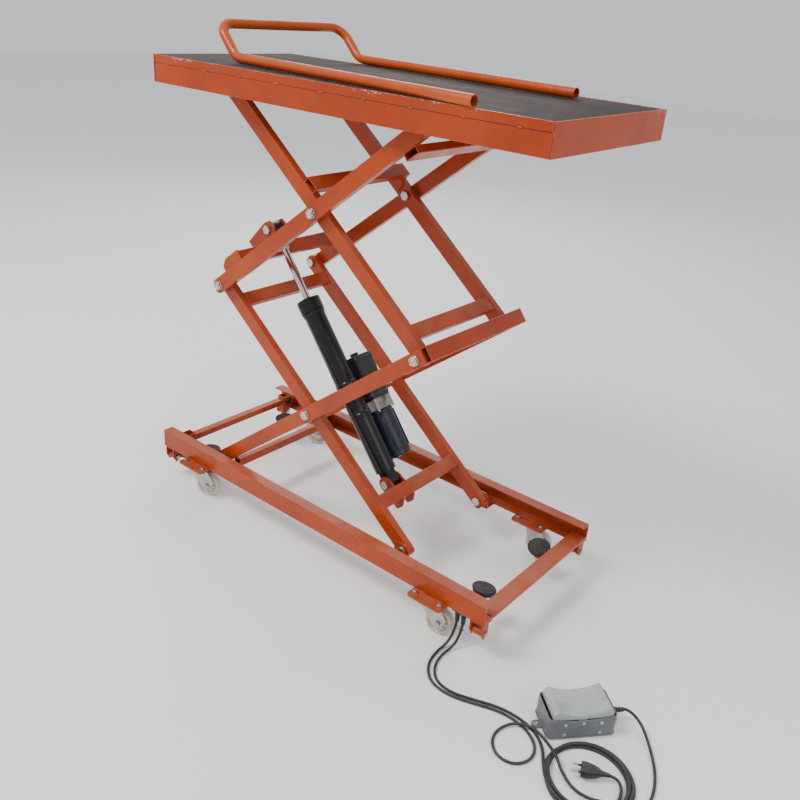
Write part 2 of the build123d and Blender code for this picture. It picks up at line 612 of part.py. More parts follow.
with BuildPart() as lower_arm_pins:
    for side in (-1, 1):
        bolt(MID_X, LEVEL[1], side * OUT_Y, side * (IN_Y - ARM_T - 1))
        bolt(PIVOT_X, LEVEL[2], side * OUT_Y, side * (IN_Y - ARM_T - 1))
        bolt(FAR_X, LEVEL[0], side * (OUT_Y - ARM_T), side * (ROLLER_Y + ROLLER_W / 2 + 1), nut=False)
keep("lower_arm_pins", lower_arm_pins)

with BuildPart() as upper_arm_pins:
    for side in (-1, 1):
        bolt(FAR_X, LEVEL[2], side * OUT_Y, side * (IN_Y - ARM_T - 1))
        bolt(MID_X, LEVEL[3], side * OUT_Y, side * (IN_Y - ARM_T - 1))
keep("upper_arm_pins", upper_arm_pins)

TRACK_ROLLER_Y = 228.0
with BuildPart() as upper_roller_pins:
    for side in (-1, 1):
        bolt(FAR_X, LEVEL[4], side * (IN_Y - ARM_T), side * (TRACK_ROLLER_Y + ROLLER_W / 2 + 1), nut=False)
keep("upper_roller_pins", upper_roller_pins)

PLAT_HINGE_Y = OUT_Y + 1.0
with BuildPart() as platform_pins:
    for side in (-1, 1):
        bolt(PIVOT_X, LEVEL[4], side * (OUT_Y - ARM_T - 1), side * (PLAT_HINGE_Y + 8))
keep("platform_pins", platform_pins)

with BuildPart() as ram_pin_lower:
    bolt(ram_low.X, ram_low.Z, RAM_Y - EAR_GAP / 2 - EAR_T, RAM_Y + EAR_GAP / 2 + EAR_T)
keep("ram_pin_lower", ram_pin_lower)

with BuildPart() as ram_pin_upper:
    for s in (-1, 1):
        bolt(ram_high.X, ram_high.Z, RAM_Y + s * (EAR_GAP / 2 + EAR_T), RAM_Y + s * (EAR_GAP / 2), nut=False)
keep("ram_pin_upper", ram_pin_upper)

with BuildPart() as base_bolts:
    for side in (-1, 1):
        bolt(PIVOT_X, LEVEL[0], side * (IN_Y - ARM_T - 1), side * (HINGE_Y + HINGE_T))
    spots = [(sx * CASTER_X + bx, side * CASTER_Y + by) for sx, side in CORNER.values()
             for bx in (-BOLT_SX / 2, BOLT_SX / 2) for by in (-BOLT_SY / 2, BOLT_SY / 2)]
    for bx, by in spots:
        with BuildSketch(Plane.XY.offset(RAIL_Z - PLATE_T - TOP_PLATE_T - 5)):
            with Locations((bx, by)):
                RegularPolygon(7.5, 6)
        extrude(amount=5)
        with BuildSketch(Plane.XY.offset(RAIL_Z - PLATE_T - TOP_PLATE_T)):
            with Locations((bx, by)):
                Circle(4.5)
        extrude(amount=PLATE_T + TOP_PLATE_T + 9)
        with BuildSketch(Plane.XY.offset(RAIL_Z)):
            with Locations((bx, by)):
                RegularPolygon(7.5, 6)
        extrude(amount=6)
    for sx, side in CORNER.values():
        with BuildSketch(Plane.YZ.offset(sx * BRK_X - BRK_W / 2 - 5)):
            with Locations((side * BRK_Y, ARM_Z)):
                RegularPolygon(7.5, 6)
        extrude(amount=5)
        with BuildSketch(Plane.YZ.offset(sx * BRK_X - BRK_W / 2)):
            with Locations((side * BRK_Y, ARM_Z)):
                Circle(4.2)
        extrude(amount=BRK_W)
        with BuildSketch(Plane.YZ.offset(sx * BRK_X + BRK_W / 2)):
            with Locations((side * BRK_Y, ARM_Z)):
                RegularPolygon(7.5, 6)
        extrude(amount=5)
    for side in (-1, 1):
        with BuildSketch(Plane.YZ.offset(POST_X + POST / 2)):
            with Locations((side * POST_Y, RAIL_Z + POST_H - 16)):
                Circle(4)
        extrude(amount=2)
        with BuildSketch(Plane.YZ.offset(POST_X + POST / 2 + 2)):
            with Locations((side * POST_Y, RAIL_Z + POST_H - 16)):
                Circle(9)
        extrude(amount=5)
keep("base_bolts", base_bolts)



# ---- rollers ------------------------------------------------------------------
def roller_pair(name, z, y_mid):
    """Two grooved rollers that turn on the arm's end pins."""
    with BuildPart() as p:
        for side in (-1, 1):
            with BuildSketch(Plane(origin=(FAR_X, side * y_mid, z), x_dir=(1, 0, 0), z_dir=(0, 1, 0))):
                Circle(ROLLER_R)
                Circle(PIN_R + 0.06, mode=Mode.SUBTRACT)
            extrude(amount=ROLLER_W / 2, both=True)
        chamfer(p.edges().filter_by(GeomType.CIRCLE).filter_by(lambda e: e.radius > 20), 1.5)
    keep(name, p)


roller_pair("lower_rollers", LEVEL[0], ROLLER_Y)
roller_pair("upper_rollers", LEVEL[4], TRACK_ROLLER_Y)

# ---- platform -----------------------------------------------------------------
PLAT_MID, PLAT_L = (PLAT_X0 + PLAT_X1) / 2, PLAT_X1 - PLAT_X0
HALF_PW = PLAT_W / 2
SKIRT_Z1 = PLAT_TOP - RIM_H
TRACK_T, TRACK_FL = 6.0, 33.0
DECK_Z1 = PLAT_TOP - MAT_T
with BuildPart() as platform_frame:
    for side in (-1, 1):
        with BuildSketch(Plane.YZ.offset(PLAT_X0 + SKIRT_T)):
            with Locations((side * (HALF_PW - SKIRT_T / 2), (PLAT_BOTTOM + SKIRT_Z1) / 2)):
                Rectangle(SKIRT_T, SKIRT_Z1 - PLAT_BOTTOM)
            with Locations((side * (HALF_PW - TRACK_FL / 2), PLAT_BOTTOM + 2)):
                Rectangle(TRACK_FL, 4)
            with Locations((side * (HALF_PW - TRACK_FL / 2 - 3), PLAT_BOTTOM + 4 + TRACK_T / 2)):
                Rectangle(TRACK_FL - 8, TRACK_T)
        extrude(amount=PLAT_L - 2 * SKIRT_T)
    for x0 in (PLAT_X0, PLAT_X1 - SKIRT_T):
        with BuildSketch(Plane.YZ.offset(x0)):
            with Locations((0, (PLAT_BOTTOM + PLAT_TOP) / 2)):
                Rectangle(PLAT_W, PLAT_TOP - PLAT_BOTTOM)
        extrude(amount=SKIRT_T)
keep("platform_frame", platform_frame)

with BuildPart() as platform_hinges:
    for side in (-1, 1):
        with BuildSketch(Plane.XZ.offset(-side * PLAT_HINGE_Y)):
            with Locations((PIVOT_X, (PLAT_BOTTOM + DECK_Z1 - DECK_T) / 2)):
                Rectangle(56, DECK_Z1 - DECK_T - PLAT_BOTTOM)
            with Locations((PIVOT_X, LEVEL[4])):
                Circle(PIN_R, mode=Mode.SUBTRACT)
        extrude(amount=-side * 8)
keep("platform_hinges", platform_hinges)

with BuildPart() as platform_deck:
    with BuildSketch(Plane.XY.offset(DECK_Z1 - DECK_T)):
        with Locations((PLAT_MID, 0)):
            Rectangle(PLAT_L - 2 * SKIRT_T, PLAT_W)
    extrude(amount=DECK_T)
    for side in (-1, 1):
        with BuildSketch(Plane.XY.offset(SKIRT_Z1)):
            with Locations((PLAT_MID, side * (HALF_PW - SKIRT_T / 2))):
                Rectangle(PLAT_L - 2 * SKIRT_T, SKIRT_T)
        extrude(amount=RIM_H)
    for x_rib in (-150, 100):      # stiffening ribs under the sheet
        with BuildSketch(Plane.XY.offset(DECK_Z1 - DECK_T - 12)):
            with Locations((x_rib, 0)):
                Rectangle(30, PLAT_W - 2 * SKIRT_T)
        extrude(amount=12)
keep("platform_deck", platform_deck)

MAT_GAP = 0.5
with BuildPart() as rubber_mat:
    with BuildSketch(Plane.XY.offset(DECK_Z1)):
        with Locations((PLAT_MID, 0)):
            Rectangle(PLAT_L - 2 * SKIRT_T - 2 * MAT_GAP, PLAT_W - 2 * SKIRT_T - 2 * MAT_GAP)
    extrude(amount=MAT_T)
keep("rubber_mat", rubber_mat)

# ---- push handle, lifted out of its sockets and laid on the mat ----------------
NEAR_LEG, FAR_LEG, LEG_BEND, LOOP_RUN, LOOP_RISE = 408.0, 360.0, -383.0, 80.0, 74.0
HANDLE_X, HANDLE_Y = 37.0, 3.0         # the two legs are cut to different lengths
handle_frame = Plane(origin=(HANDLE_X, HANDLE_Y, PLAT_TOP + HANDLE_D / 2 + 0.3), z_dir=(0, 0, 1)).rotated(
    (0, 0, HANDLE_YAW))
with BuildPart() as push_handle:
    half = HANDLE_GAP / 2
    corners = [(NEAR_LEG, -half, 0), (LEG_BEND, -half, 0), (LEG_BEND - LOOP_RUN, -half, LOOP_RISE),
               (LEG_BEND - LOOP_RUN, half, LOOP_RISE), (LEG_BEND, half, 0), (FAR_LEG, half, 0)]
    with BuildLine() as handle_line:
        FilletPolyline(*[handle_frame.from_local_coords(Vector(*c)) for c in corners],
                       radius=(60.0, 42.0, 42.0, 60.0))
    with BuildSketch(Plane(origin=handle_line.line @ 0, z_dir=handle_line.line % 0)):
        Circle(HANDLE_D / 2)
        Circle(HANDLE_D / 2 - 2, mode=Mode.SUBTRACT)
    sweep()
keep("push_handle", push_handle)

# ---- foot switch on its lead ----------------------------------------------------
PEDAL_L, PEDAL_W, PEDAL_H, PEDAL_WALL = 160.0, 90.0, 54.0, 3.0
PEDAL_X, PEDAL_Y, PEDAL_YAW = 885.0, -262.0, 48.9
PEDAL_PIN_Z, PEDAL_PIN_R = 42.0, 3.0
pedal = Plane(origin=(PEDAL_X, PEDAL_Y, 0), z_dir=(0, 0, 1)).rotated((0, 0, PEDAL_YAW))
pedal_side = Plane(origin=pedal.origin, x_dir=pedal.x_dir, z_dir=-pedal.y_dir)
pedal_end = Plane(origin=tuple(pedal.from_local_coords(Vector(PEDAL_L / 2, 0, 28))), z_dir=tuple(pedal.x_dir))

with BuildPart() as pedal_housing:
    with BuildSketch(pedal):
        RectangleRounded(PEDAL_L, PEDAL_W, 12)
    extrude(amount=PEDAL_H)
    with BuildSketch(pedal.offset(4)):
        RectangleRounded(PEDAL_L - 2 * PEDAL_WALL, PEDAL_W - 2 * PEDAL_WALL, 9)
    extrude(amount=PEDAL_H, mode=Mode.SUBTRACT)
    with BuildSketch(pedal_side):       # the long sides dip towards the pivot
        with BuildLine():
            ThreePointArc((-PEDAL_L / 2 + 14, PEDAL_H), (0, PEDAL_H - 5), (PEDAL_L / 2 - 14, PEDAL_H))
            Line((PEDAL_L / 2 - 14, PEDAL_H), (-PEDAL_L / 2 + 14, PEDAL_H))
        make_face()
    extrude(amount=PEDAL_W, both=True, mode=Mode.SUBTRACT)
    with BuildSketch(pedal):            # screw ears at the two ends of the foot
        with Locations((-PEDAL_L / 2 - 5, 0), (PEDAL_L / 2 + 5, 0)):
            Rectangle(12, 22)
        with Locations((-PEDAL_L / 2 - 11, 0), (PEDAL_L / 2 + 11, 0)):
            Circle(11)
            Circle(3, mode=Mode.SUBTRACT)
        RectangleRounded(PEDAL_L - 1, PEDAL_W - 1, 11, mode=Mode.SUBTRACT)
    extrude(amount=5)
    with BuildSketch(pedal_side.offset(-PEDAL_W / 2)):
        with Locations((0, PEDAL_PIN_Z)):
            Circle(PEDAL_PIN_R)
    extrude(amount=PEDAL_W)
    with BuildSketch(pedal_end):        # strain relief of the lead
        Circle(7)
    extrude(amount=14)
keep("pedal_housing", pedal_housing)

with BuildPart() as pedal_rocker:
    with BuildSketch(pedal_side):
        with BuildLine():
            Line((-70, 50), (-70, 64))
            RadiusArc((-70, 64), (-58, 73), 12)
            ThreePointArc((-58, 73), (0, 60), (58, 73))
            RadiusArc((58, 73), (70, 64), 12)
            Line((70, 64), (70, 50))
            Line((70, 50), (-70, 50))
        make_face()
        with Locations((0, PEDAL_PIN_Z)):
            Circle(9)
        with Locations((0, PEDAL_PIN_Z + 4)):
            Rectangle(18, 12)
        with Locations((0, PEDAL_PIN_Z)):
            Circle(PEDAL_PIN_R + 0.05, mode=Mode.SUBTRACT)
    extrude(amount=40, both=True)
keep("pedal_rocker", pedal_rocker)

# ---- mains plug, lying inside the coil ------------------------------------------
PLUG_END, PLUG_AIM, PLUG_Z = (1012.0, -362.0), (-0.9, -0.436), 17.5
plug = Plane(origin=(*PLUG_END, PLUG_Z), x_dir=(PLUG_AIM[1], -PLUG_AIM[0], 0), z_dir=(*PLUG_AIM, 0))
with BuildPart() as mains_plug:
    with BuildSketch(plug):
        Circle(5.5)
    extrude(amount=10)
    with BuildSketch(plug.offset(10)):
        Circle(8)
    with BuildSketch(plug.offset(38)):
        RectangleRounded(34, 26, 10)
    loft()
    with BuildSketch(plug.offset(38)):
        RectangleRounded(34, 26, 10)
    extrude(amount=13)
    with BuildSketch(plug.offset(51)):
        with GridLocations(19, 1, 2, 1):
            Circle(2.4)
    extrude(amount=19)
keep("mains_plug", mains_plug)

# ---- cable glands under the near rail -------------------------------------------
LEAD_XY, MAINS_XY, GLAND_Z = (530.0, -239.0), (548.0, -239.0), 90.0
with BuildPart() as cable_glands:
    with BuildSketch(Plane.XY.offset(RAIL_Z - 4)):
        with Locations(((LEAD_XY[0] + MAINS_XY[0]) / 2, LEAD_XY[1])):
            RectangleRounded(42, 30, 3)
    extrude(amount=4)
    with BuildSketch(Plane.XY.offset(RAIL_Z - 12)):
        with Locations(LEAD_XY, MAINS_XY):
            RegularPolygon(8.6, 6)
    extrude(amount=8)
    with BuildSketch(Plane.XY.offset(GLAND_Z)):
        with Locations(LEAD_XY, MAINS_XY):
            Circle(7)
    extrude(amount=RAIL_Z - 12 - GLAND_Z)
keep("cable_glands", cable_glands)

# ---- cables ---------------------------------------------------------------------
COIL_X, COIL_Y, COIL_R, COIL_W, COIL_H = 986.0, -386.0, 91.0, 22.0, 15.0
with BuildPart() as cable_coil:
    with BuildSketch(Plane.XY):
        with Locations((COIL_X, COIL_Y)):
            Circle(COIL_R + COIL_W / 2)
            Circle(COIL_R - COIL_W / 2, mode=Mode.SUBTRACT)
    extrude(amount=COIL_H)
    fillet(cable_coil.edges().filter_by(GeomType.CIRCLE).group_by(Axis.Z)[-1], 4)
keep("cable_coil", cable_coil)

FLOOR_Z = CABLE_D / 2 + 0.1
MAINS_RUN = [(548, -239, 90), (548, -239, 50), (543, -260, 8), (536, -300, FLOOR_Z),
             (547, -346, FLOOR_Z), (579, -382, FLOOR_Z), (626, -388, FLOOR_Z), (673, -372, FLOOR_Z),
             (735, -347, FLOOR_Z), (790, -342, FLOOR_Z), (838, -353, FLOOR_Z), (872, -380, FLOOR_Z),
             (892, -412, FLOOR_Z), (912, -440, FLOOR_Z)]
MAINS_TAIL = [(1054, -420, FLOOR_Z), (1061, -392, FLOOR_Z), (1053, -364, 8), (1034, -351.34, PLUG_Z),
              (1012, -362, PLUG_Z)]
PEDAL_RUN = [(530, -239, 90), (530, -239, 50), (525, -262, 8), (520, -300, FLOOR_Z),
             (532, -354, FLOOR_Z), (571, -394, FLOOR_Z), (626, -399, FLOOR_Z), (677, -383, FLOOR_Z),
             (738, -358, FLOOR_Z), (788, -354, FLOOR_Z), (832, -366, FLOOR_Z), (864, -394, FLOOR_Z),
             (870, -432, FLOOR_Z), (848, -464, FLOOR_Z), (808, -468, FLOOR_Z), (776, -440, FLOOR_Z),
             (770, -400, FLOOR_Z), (790, -366, 9), (826, -352, 12.5), (862, -366, 18),
             (886, -380, 21), (911, -393, 21), (936, -412, 9), (974, -431, 4.5), (1014, -432, 8),
             (1044, -428, 21), (1078, -421, 21), (1101, -403, 9), (1110, -372, FLOOR_Z),
             (1108, -328, FLOOR_Z), (1088, -272, FLOOR_Z), (1047, -214, 7), (1002, -172, 19),
             (967, -168, 28)]
BEND = 0.45          # share of the shorter run that a corner's round may take


def cable(name, routes, cut=None):
    """Round cable swept along straight runs with rounded corners, in one or more stretches."""
    with BuildPart() as p:
        for route in routes:
            radii = []
            for before, at, after in zip(route, route[1:], route[2:]):
                a, b, c = Vector(*before), Vector(*at), Vector(*after)
                turn = radians((b - a).get_angle(c - b))
                radii.append(BEND * min((b - a).length, (c - b).length) / tan(max(turn, 0.02) / 2))
            with BuildLine() as line:
                FilletPolyline(*route, radius=radii)
            with BuildSketch(Plane(origin=line.line @ 0, z_dir=line.line % 0)):
                Circle(CABLE_D / 2)
            sweep()
        if cut is not None:
            add(cut, mode=Mode.SUBTRACT)
    keep(name, p)


lead_end = pedal_end.from_local_coords(Vector(0, 0, 14))
cable("cable_mains", [MAINS_RUN, MAINS_TAIL], cable_coil.part)
cable("cable_pedal", [PEDAL_RUN + [tuple(lead_end + 10 * pedal.x_dir), tuple(lead_end)]])
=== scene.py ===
"""Looks of the scissor lift table: camera, light, floor, cables, materials and small details."""
import json
import random
from math import cos, hypot, pi, radians, sin, tau

import bmesh
import bpy
from mathutils import Matrix, Vector, noise


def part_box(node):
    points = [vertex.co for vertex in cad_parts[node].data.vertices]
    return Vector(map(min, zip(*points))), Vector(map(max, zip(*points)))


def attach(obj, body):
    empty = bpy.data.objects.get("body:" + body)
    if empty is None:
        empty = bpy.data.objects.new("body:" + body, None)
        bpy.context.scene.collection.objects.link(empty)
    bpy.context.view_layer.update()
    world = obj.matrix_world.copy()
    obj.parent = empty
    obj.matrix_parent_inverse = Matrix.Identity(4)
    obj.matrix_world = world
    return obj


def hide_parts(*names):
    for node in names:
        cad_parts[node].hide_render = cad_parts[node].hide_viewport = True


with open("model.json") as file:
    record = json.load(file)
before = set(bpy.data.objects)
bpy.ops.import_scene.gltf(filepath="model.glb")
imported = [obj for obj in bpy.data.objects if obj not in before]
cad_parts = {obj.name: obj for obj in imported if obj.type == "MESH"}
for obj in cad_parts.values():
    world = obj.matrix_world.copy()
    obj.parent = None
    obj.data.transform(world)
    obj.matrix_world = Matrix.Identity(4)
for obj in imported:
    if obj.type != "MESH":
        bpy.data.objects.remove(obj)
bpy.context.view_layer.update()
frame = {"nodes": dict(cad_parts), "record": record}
NODES = frame["nodes"]
RNG = random.Random(7)
MM = 0.001
BEAD_R = 2.6 * MM


# ---- camera, light and floor ---------------------------------------------------
def camera():
    """A camera at the photograph's viewing angle."""
    azimuth, elevation, roll = radians(37.40), radians(25.51), radians(4.70)
    ahead = Vector((-sin(azimuth) * cos(elevation), cos(azimuth) * cos(elevation), -sin(elevation)))
    level = ahead.cross(Vector((0, 0, 1))).normalized()
    above = level.cross(ahead)
    right = cos(roll) * level + sin(roll) * above
    up = cos(roll) * above - sin(roll) * level
    data = bpy.data.cameras.new("camera")
    data.sensor_width, data.lens = 36.0, 38.53
    data.clip_start, data.clip_end = 0.05, 60.0
    cam = bpy.data.objects.new("camera", data)
    bpy.context.collection.objects.link(cam)
    place = Matrix((right, up, -ahead)).transposed().to_4x4()
    place.translation = (1.4090, -1.6952, 1.4676)
    cam.matrix_world = place
    bpy.context.scene.camera = cam


def area_light(name, place, target, size, power, tint=(1, 1, 1)):
    """A soft square lamp aimed at a point."""
    data = bpy.data.lights.new(name, "AREA")
    data.shape, data.size, data.energy, data.color = "SQUARE", size, power, tint
    lamp = bpy.data.objects.new(name, data)
    bpy.context.collection.objects.link(lamp)
    lamp.location = place
    lamp.rotation_euler = (Vector(target) - Vector(place)).to_track_quat("-Z", "Y").to_euler()


def studio():
    """Pale floor, three soft lamps and an even sky."""
    world = bpy.data.worlds.new("studio")
    bpy.context.scene.world = world
    world.use_nodes = True
    sky = world.node_tree.nodes["Background"]
    sky.inputs["Color"].default_value = (0.95, 0.97, 1.0, 1)
    sky.inputs["Strength"].default_value = 0.78
    mesh = bpy.data.meshes.new("floor")
    span = 14.0
    corners = [(-span, -span, 0), (span, -span, 0), (span, span, 0), (-span, span, 0)]
    mesh.from_pydata(corners, [], [(0, 1, 2, 3)])
    floor = bpy.data.objects.new("floor", mesh)
    bpy.context.collection.objects.link(floor)
    floor.data.materials.append(plain_floor())
    area_light("key", (-1.6, -2.6, 4.4), (0, 0, 0.6), 1.5, 175, (1.0, 0.97, 0.92))
    area_light("fill", (3.9, -0.8, 2.6), (0, 0, 0.6), 2.4, 40, (0.95, 0.97, 1.0))
    area_light("rim", (-2.6, 3.2, 3.0), (0, 0, 0.8), 2.2, 55)


# ---- material building blocks ---------------------------------------------------
class Nodes:
    """Short hand for building one shader: every call adds a node and returns its output."""

    def __init__(self, name, **shader):
        self.mat = bpy.data.materials.new(name)
        self.mat.use_nodes = True
        self.tree = self.mat.node_tree
        self.shader = self.tree.nodes["Principled BSDF"]
        for key, value in shader.items():
            self.shader.inputs[key.replace("_", " ")].default_value = value
        self.place = self.add("ShaderNodeTexCoord").outputs["Object"]

    def add(self, kind):
        return self.tree.nodes.new(kind)

    def link(self, out, socket):
        self.tree.links.new(out, socket)

    def noise(self, scale, detail=4.0, rough=0.55, stretch=None, distort=0.0):
        node = self.add("ShaderNodeTexNoise")
        node.inputs["Scale"].default_value = scale
        node.inputs["Detail"].default_value = detail
        node.inputs["Roughness"].default_value = rough
        node.inputs["Distortion"].default_value = distort
        place = self.place
        if stretch:
            mapping = self.add("ShaderNodeMapping")
            mapping.inputs["Scale"].default_value = stretch
            self.link(place, mapping.inputs["Vector"])
            place = mapping.outputs["Vector"]
        self.link(place, node.inputs["Vector"])
        return node.outputs["Fac"]

    def cells(self, scale, feature="F1"):
        node = self.add("ShaderNodeTexVoronoi")
        node.feature = feature
        node.inputs["Scale"].default_value = scale
        self.link(self.place, node.inputs["Vector"])
        return node.outputs["Distance"]

    def ramp(self, value, low, high, first=0.0, last=1.0):
        node = self.add("ShaderNodeMapRange")
        node.interpolation_type = "SMOOTHSTEP"
        node.inputs["From Min"].default_value = low
        node.inputs["From Max"].default_value = high
        node.inputs["To Min"].default_value = first
        node.inputs["To Max"].default_value = last
        self.link(value, node.inputs["Value"])
        return node.outputs["Result"]

    def math(self, operation, a, b):
        node = self.add("ShaderNodeMath")
        node.operation = operation
        node.use_clamp = operation in ("MULTIPLY", "ADD", "SUBTRACT")
        for socket, value in zip(node.inputs, (a, b)):
            if hasattr(value, "is_output"):
                self.link(value, socket)
            else:
                socket.default_value = value
        return node.outputs[0]

    def mix(self, factor, a, b):
        node = self.add("ShaderNodeMix")
        node.data_type = "RGBA"
        self.link(factor, node.inputs["Factor"])
        for socket, value in ((node.inputs[6], a), (node.inputs[7], b)):
            if hasattr(value, "is_output"):
                self.link(value, socket)
            else:
                socket.default_value = (*value, 1)
        return node.outputs[2]

    def up(self, low=0.55, high=0.95):
        """1 where the surface faces the sky."""
        geometry = self.add("ShaderNodeNewGeometry")
        split = self.add("ShaderNodeSeparateXYZ")
        self.link(geometry.outputs["Normal"], split.inputs["Vector"])
        return self.ramp(split.outputs["Z"], low, high)

    def rim_chips(self, top):
        """Jagged chips that thin out downwards from a rim at one height."""
        split = self.add("ShaderNodeSeparateXYZ")
        self.link(self.place, split.inputs["Vector"])
        near_rim = self.ramp(split.outputs["Z"], top - 0.022, top)
        patch = self.ramp(self.noise(9, 3, 0.5, stretch=(1, 1, 0.2)), 0.42, 0.62)
        jag = self.noise(150, 7, 0.75, stretch=(0.7, 0.7, 1.3), distort=0.8)
        level = self.math("ADD", self.math("MULTIPLY", self.math("MULTIPLY", near_rim, patch), 0.22), jag)
        return self.ramp(level, 0.730, 0.748)

    def edge(self, radius, low=0.02, high=0.2):
        """1 along sharp outer and inner edges."""
        bevel = self.add("ShaderNodeBevel")
        bevel.samples = 4
        bevel.inputs["Radius"].default_value = radius
        geometry = self.add("ShaderNodeNewGeometry")
        dot = self.add("ShaderNodeVectorMath")
        dot.operation = "DOT_PRODUCT"
        self.link(bevel.outputs["Normal"], dot.inputs[0])
        self.link(geometry.outputs["Normal"], dot.inputs[1])
        turned = self.math("SUBTRACT", 1.0, dot.outputs["Value"])
        return self.ramp(turned, low, high)

    def bump(self, height, strength, distance, soft=0.0008):
        node = self.add("ShaderNodeBump")
        node.inputs["Strength"].default_value = strength
        node.inputs["Distance"].default_value = distance
        self.link(height, node.inputs["Height"])
        if soft:
            bevel = self.add("ShaderNodeBevel")
            bevel.samples = 4
            bevel.inputs["Radius"].default_value = soft
            self.link(bevel.outputs["Normal"], node.inputs["Normal"])
        self.link(node.outputs["Normal"], self.shader.inputs["Normal"])

    def colour(self, value):
        self.link(value, self.shader.inputs["Base Color"])

    def rough(self, value):
        self.link(value, self.shader.inputs["Roughness"])

    def metal(self, value):
        self.link(value, self.shader.inputs["Metallic"])


def plain_floor():
    n = Nodes("pale_floor", Roughness=0.75)
    n.shader.inputs["Specular IOR Level"].default_value = 0.2
    n.colour(n.mix(n.noise(0.7, 3), (0.93, 0.93, 0.93), (0.95, 0.95, 0.945)))
    n.rough(n.ramp(n.noise(9, 5), 0.3, 0.7, 0.68, 0.8))
    return n.mat


def old_paint(name, bright, dark, rough=0.3, chips=0.62, dust=0.35, wear=0.0016,
              grime_tone=(0.13, 0.030, 0.012), rim=None):
    """Sprayed enamel: uneven tone, orange peel, dust on top, chipped edges and fine scratches."""
    n = Nodes(name)
    n.shader.inputs["Coat Weight"].default_value = 0.10
    n.shader.inputs["Coat Roughness"].default_value = 0.22
    n.shader.inputs["Specular IOR Level"].default_value = 0.26
    cloud = n.ramp(n.noise(5.0, 6, 0.6), 0.3, 0.7)
    tone = n.mix(cloud, dark, bright)
    streak = n.ramp(n.noise(14, 6, 0.7, stretch=(1, 1, 0.14)), 0.60, 0.78, 0, 0.4)
    tone = n.mix(streak, tone, tuple(0.6 * c for c in dark))
    grime = n.ramp(n.noise(38, 8, 0.75), 0.56, 0.80, 0, 0.55)
    tone = n.mix(grime, tone, grime_tone)
    film = n.math("MULTIPLY", n.up(), n.ramp(n.noise(11, 7, 0.65), 0.35, 0.75, 0.1 * dust, dust))
    tone = n.mix(film, tone, (0.36, 0.24, 0.17))
    worn = n.math("MULTIPLY", n.edge(wear), n.ramp(n.noise(120, 6, 0.7), chips - 0.08, chips + 0.02))
    flecks = n.ramp(n.noise(210, 3, 0.6), 0.735, 0.755)
    chip = n.math("MAXIMUM", worn, flecks)
    if rim:
        chip = n.math("MAXIMUM", chip, n.rim_chips(rim))
    bare = n.mix(n.ramp(n.noise(300, 3), 0.4, 0.6), (0.30, 0.16, 0.11), (0.72, 0.60, 0.54))
    n.colour(n.mix(chip, tone, bare))
    matt = n.math("ADD", n.ramp(n.noise(24, 6, 0.7), 0.3, 0.75, rough - 0.07, rough + 0.16), film)
    n.rough(n.math("MAXIMUM", matt, n.math("MULTIPLY", chip, 0.55)))
    n.metal(n.math("MULTIPLY", chip, 0.7))
    peel = n.math("SUBTRACT", n.noise(420, 2), n.math("MULTIPLY", chip, 0.9))
    n.bump(peel, 0.22, 0.0004, 0.0011)
    return n.mat


def metal(name, tone, rough, brushed=None, grime=0.3, metallic=1.0, stain=(0.10, 0.08, 0.06)):
    """Bare or plated metal with brushing, tarnish and small pits."""
    n = Nodes(name, Metallic=metallic)
    cloud = n.ramp(n.noise(22, 6, 0.65), 0.3, 0.72, 0, 1)
    base = n.mix(cloud, tuple(0.72 * c for c in tone), tone)
    dirt = n.ramp(n.noise(75, 8, 0.75), 0.52, 0.76, 0, grime)
    n.colour(n.mix(dirt, base, stain))
    fine = n.noise(160, 4, 0.6, stretch=brushed or (1, 1, 1))
    n.rough(n.math("ADD", n.ramp(fine, 0.25, 0.75, rough - 0.06, rough + 0.1), n.math("MULTIPLY", dirt, 0.5)))
    n.bump(fine, 0.14, 0.0003, 0.0006)
    return n.mat


def rough_cast(name, tone):
    """Sand-cast aluminium: grainy, dull, oily in patches."""
    n = Nodes(name, Metallic=0.85)
    grain = n.cells(520)
    oil = n.ramp(n.noise(26, 5), 0.5, 0.7)
    n.colour(n.mix(oil, n.mix(n.noise(80, 5), tuple(0.7 * c for c in tone), tone), (0.12, 0.10, 0.085)))
    n.rough(n.ramp(oil, 0, 1, 0.55, 0.3))
    n.bump(grain, 0.5, 0.0007, 0.0012)
    return n.mat


def plastic(name, tone, rough, grain=600, dust=0.2, scuff=(0.55, 0.55, 0.52), lift=0.0, soft=0.0010):
    """Moulded plastic or rubber: fine grain, dust on top, pale scuffs on its edges."""
    n = Nodes(name)
    n.shader.inputs["Specular IOR Level"].default_value = 0.4
    cloud = n.noise(13, 6, 0.6)
    dark, light = tuple(0.80 * c for c in tone), tuple(min(1, 1.12 * c) for c in tone)
    base = n.mix(n.ramp(cloud, 0.3, 0.7), dark, light)
    film = n.math("MULTIPLY", n.up(0.3, 0.95), n.ramp(n.noise(31, 8, 0.7), 0.35, 0.75, 0.15 * dust, dust))
    base = n.mix(film, base, (0.24, 0.21, 0.19))
    rub = n.math("MULTIPLY", n.edge(0.0014), n.ramp(n.noise(95, 6), 0.5, 0.68, 0, 0.45))
    marks = n.ramp(n.noise(45, 8, 0.75, stretch=(1, 0.25, 2)), 0.66, 0.76, 0, 0.35)
    n.colour(n.mix(n.math("MAXIMUM", rub, marks), base, scuff))
    matt = n.ramp(n.noise(60, 5), 0.3, 0.7, rough - 0.06, rough + 0.08)
    n.rough(n.math("ADD", matt, n.math("MULTIPLY", film, 0.5)))
    height = n.math("ADD", n.math("MULTIPLY", n.cells(grain), 0.6), n.math("MULTIPLY", cloud, lift))
    n.bump(height, 0.25, 0.0004, soft)
    return n.mat


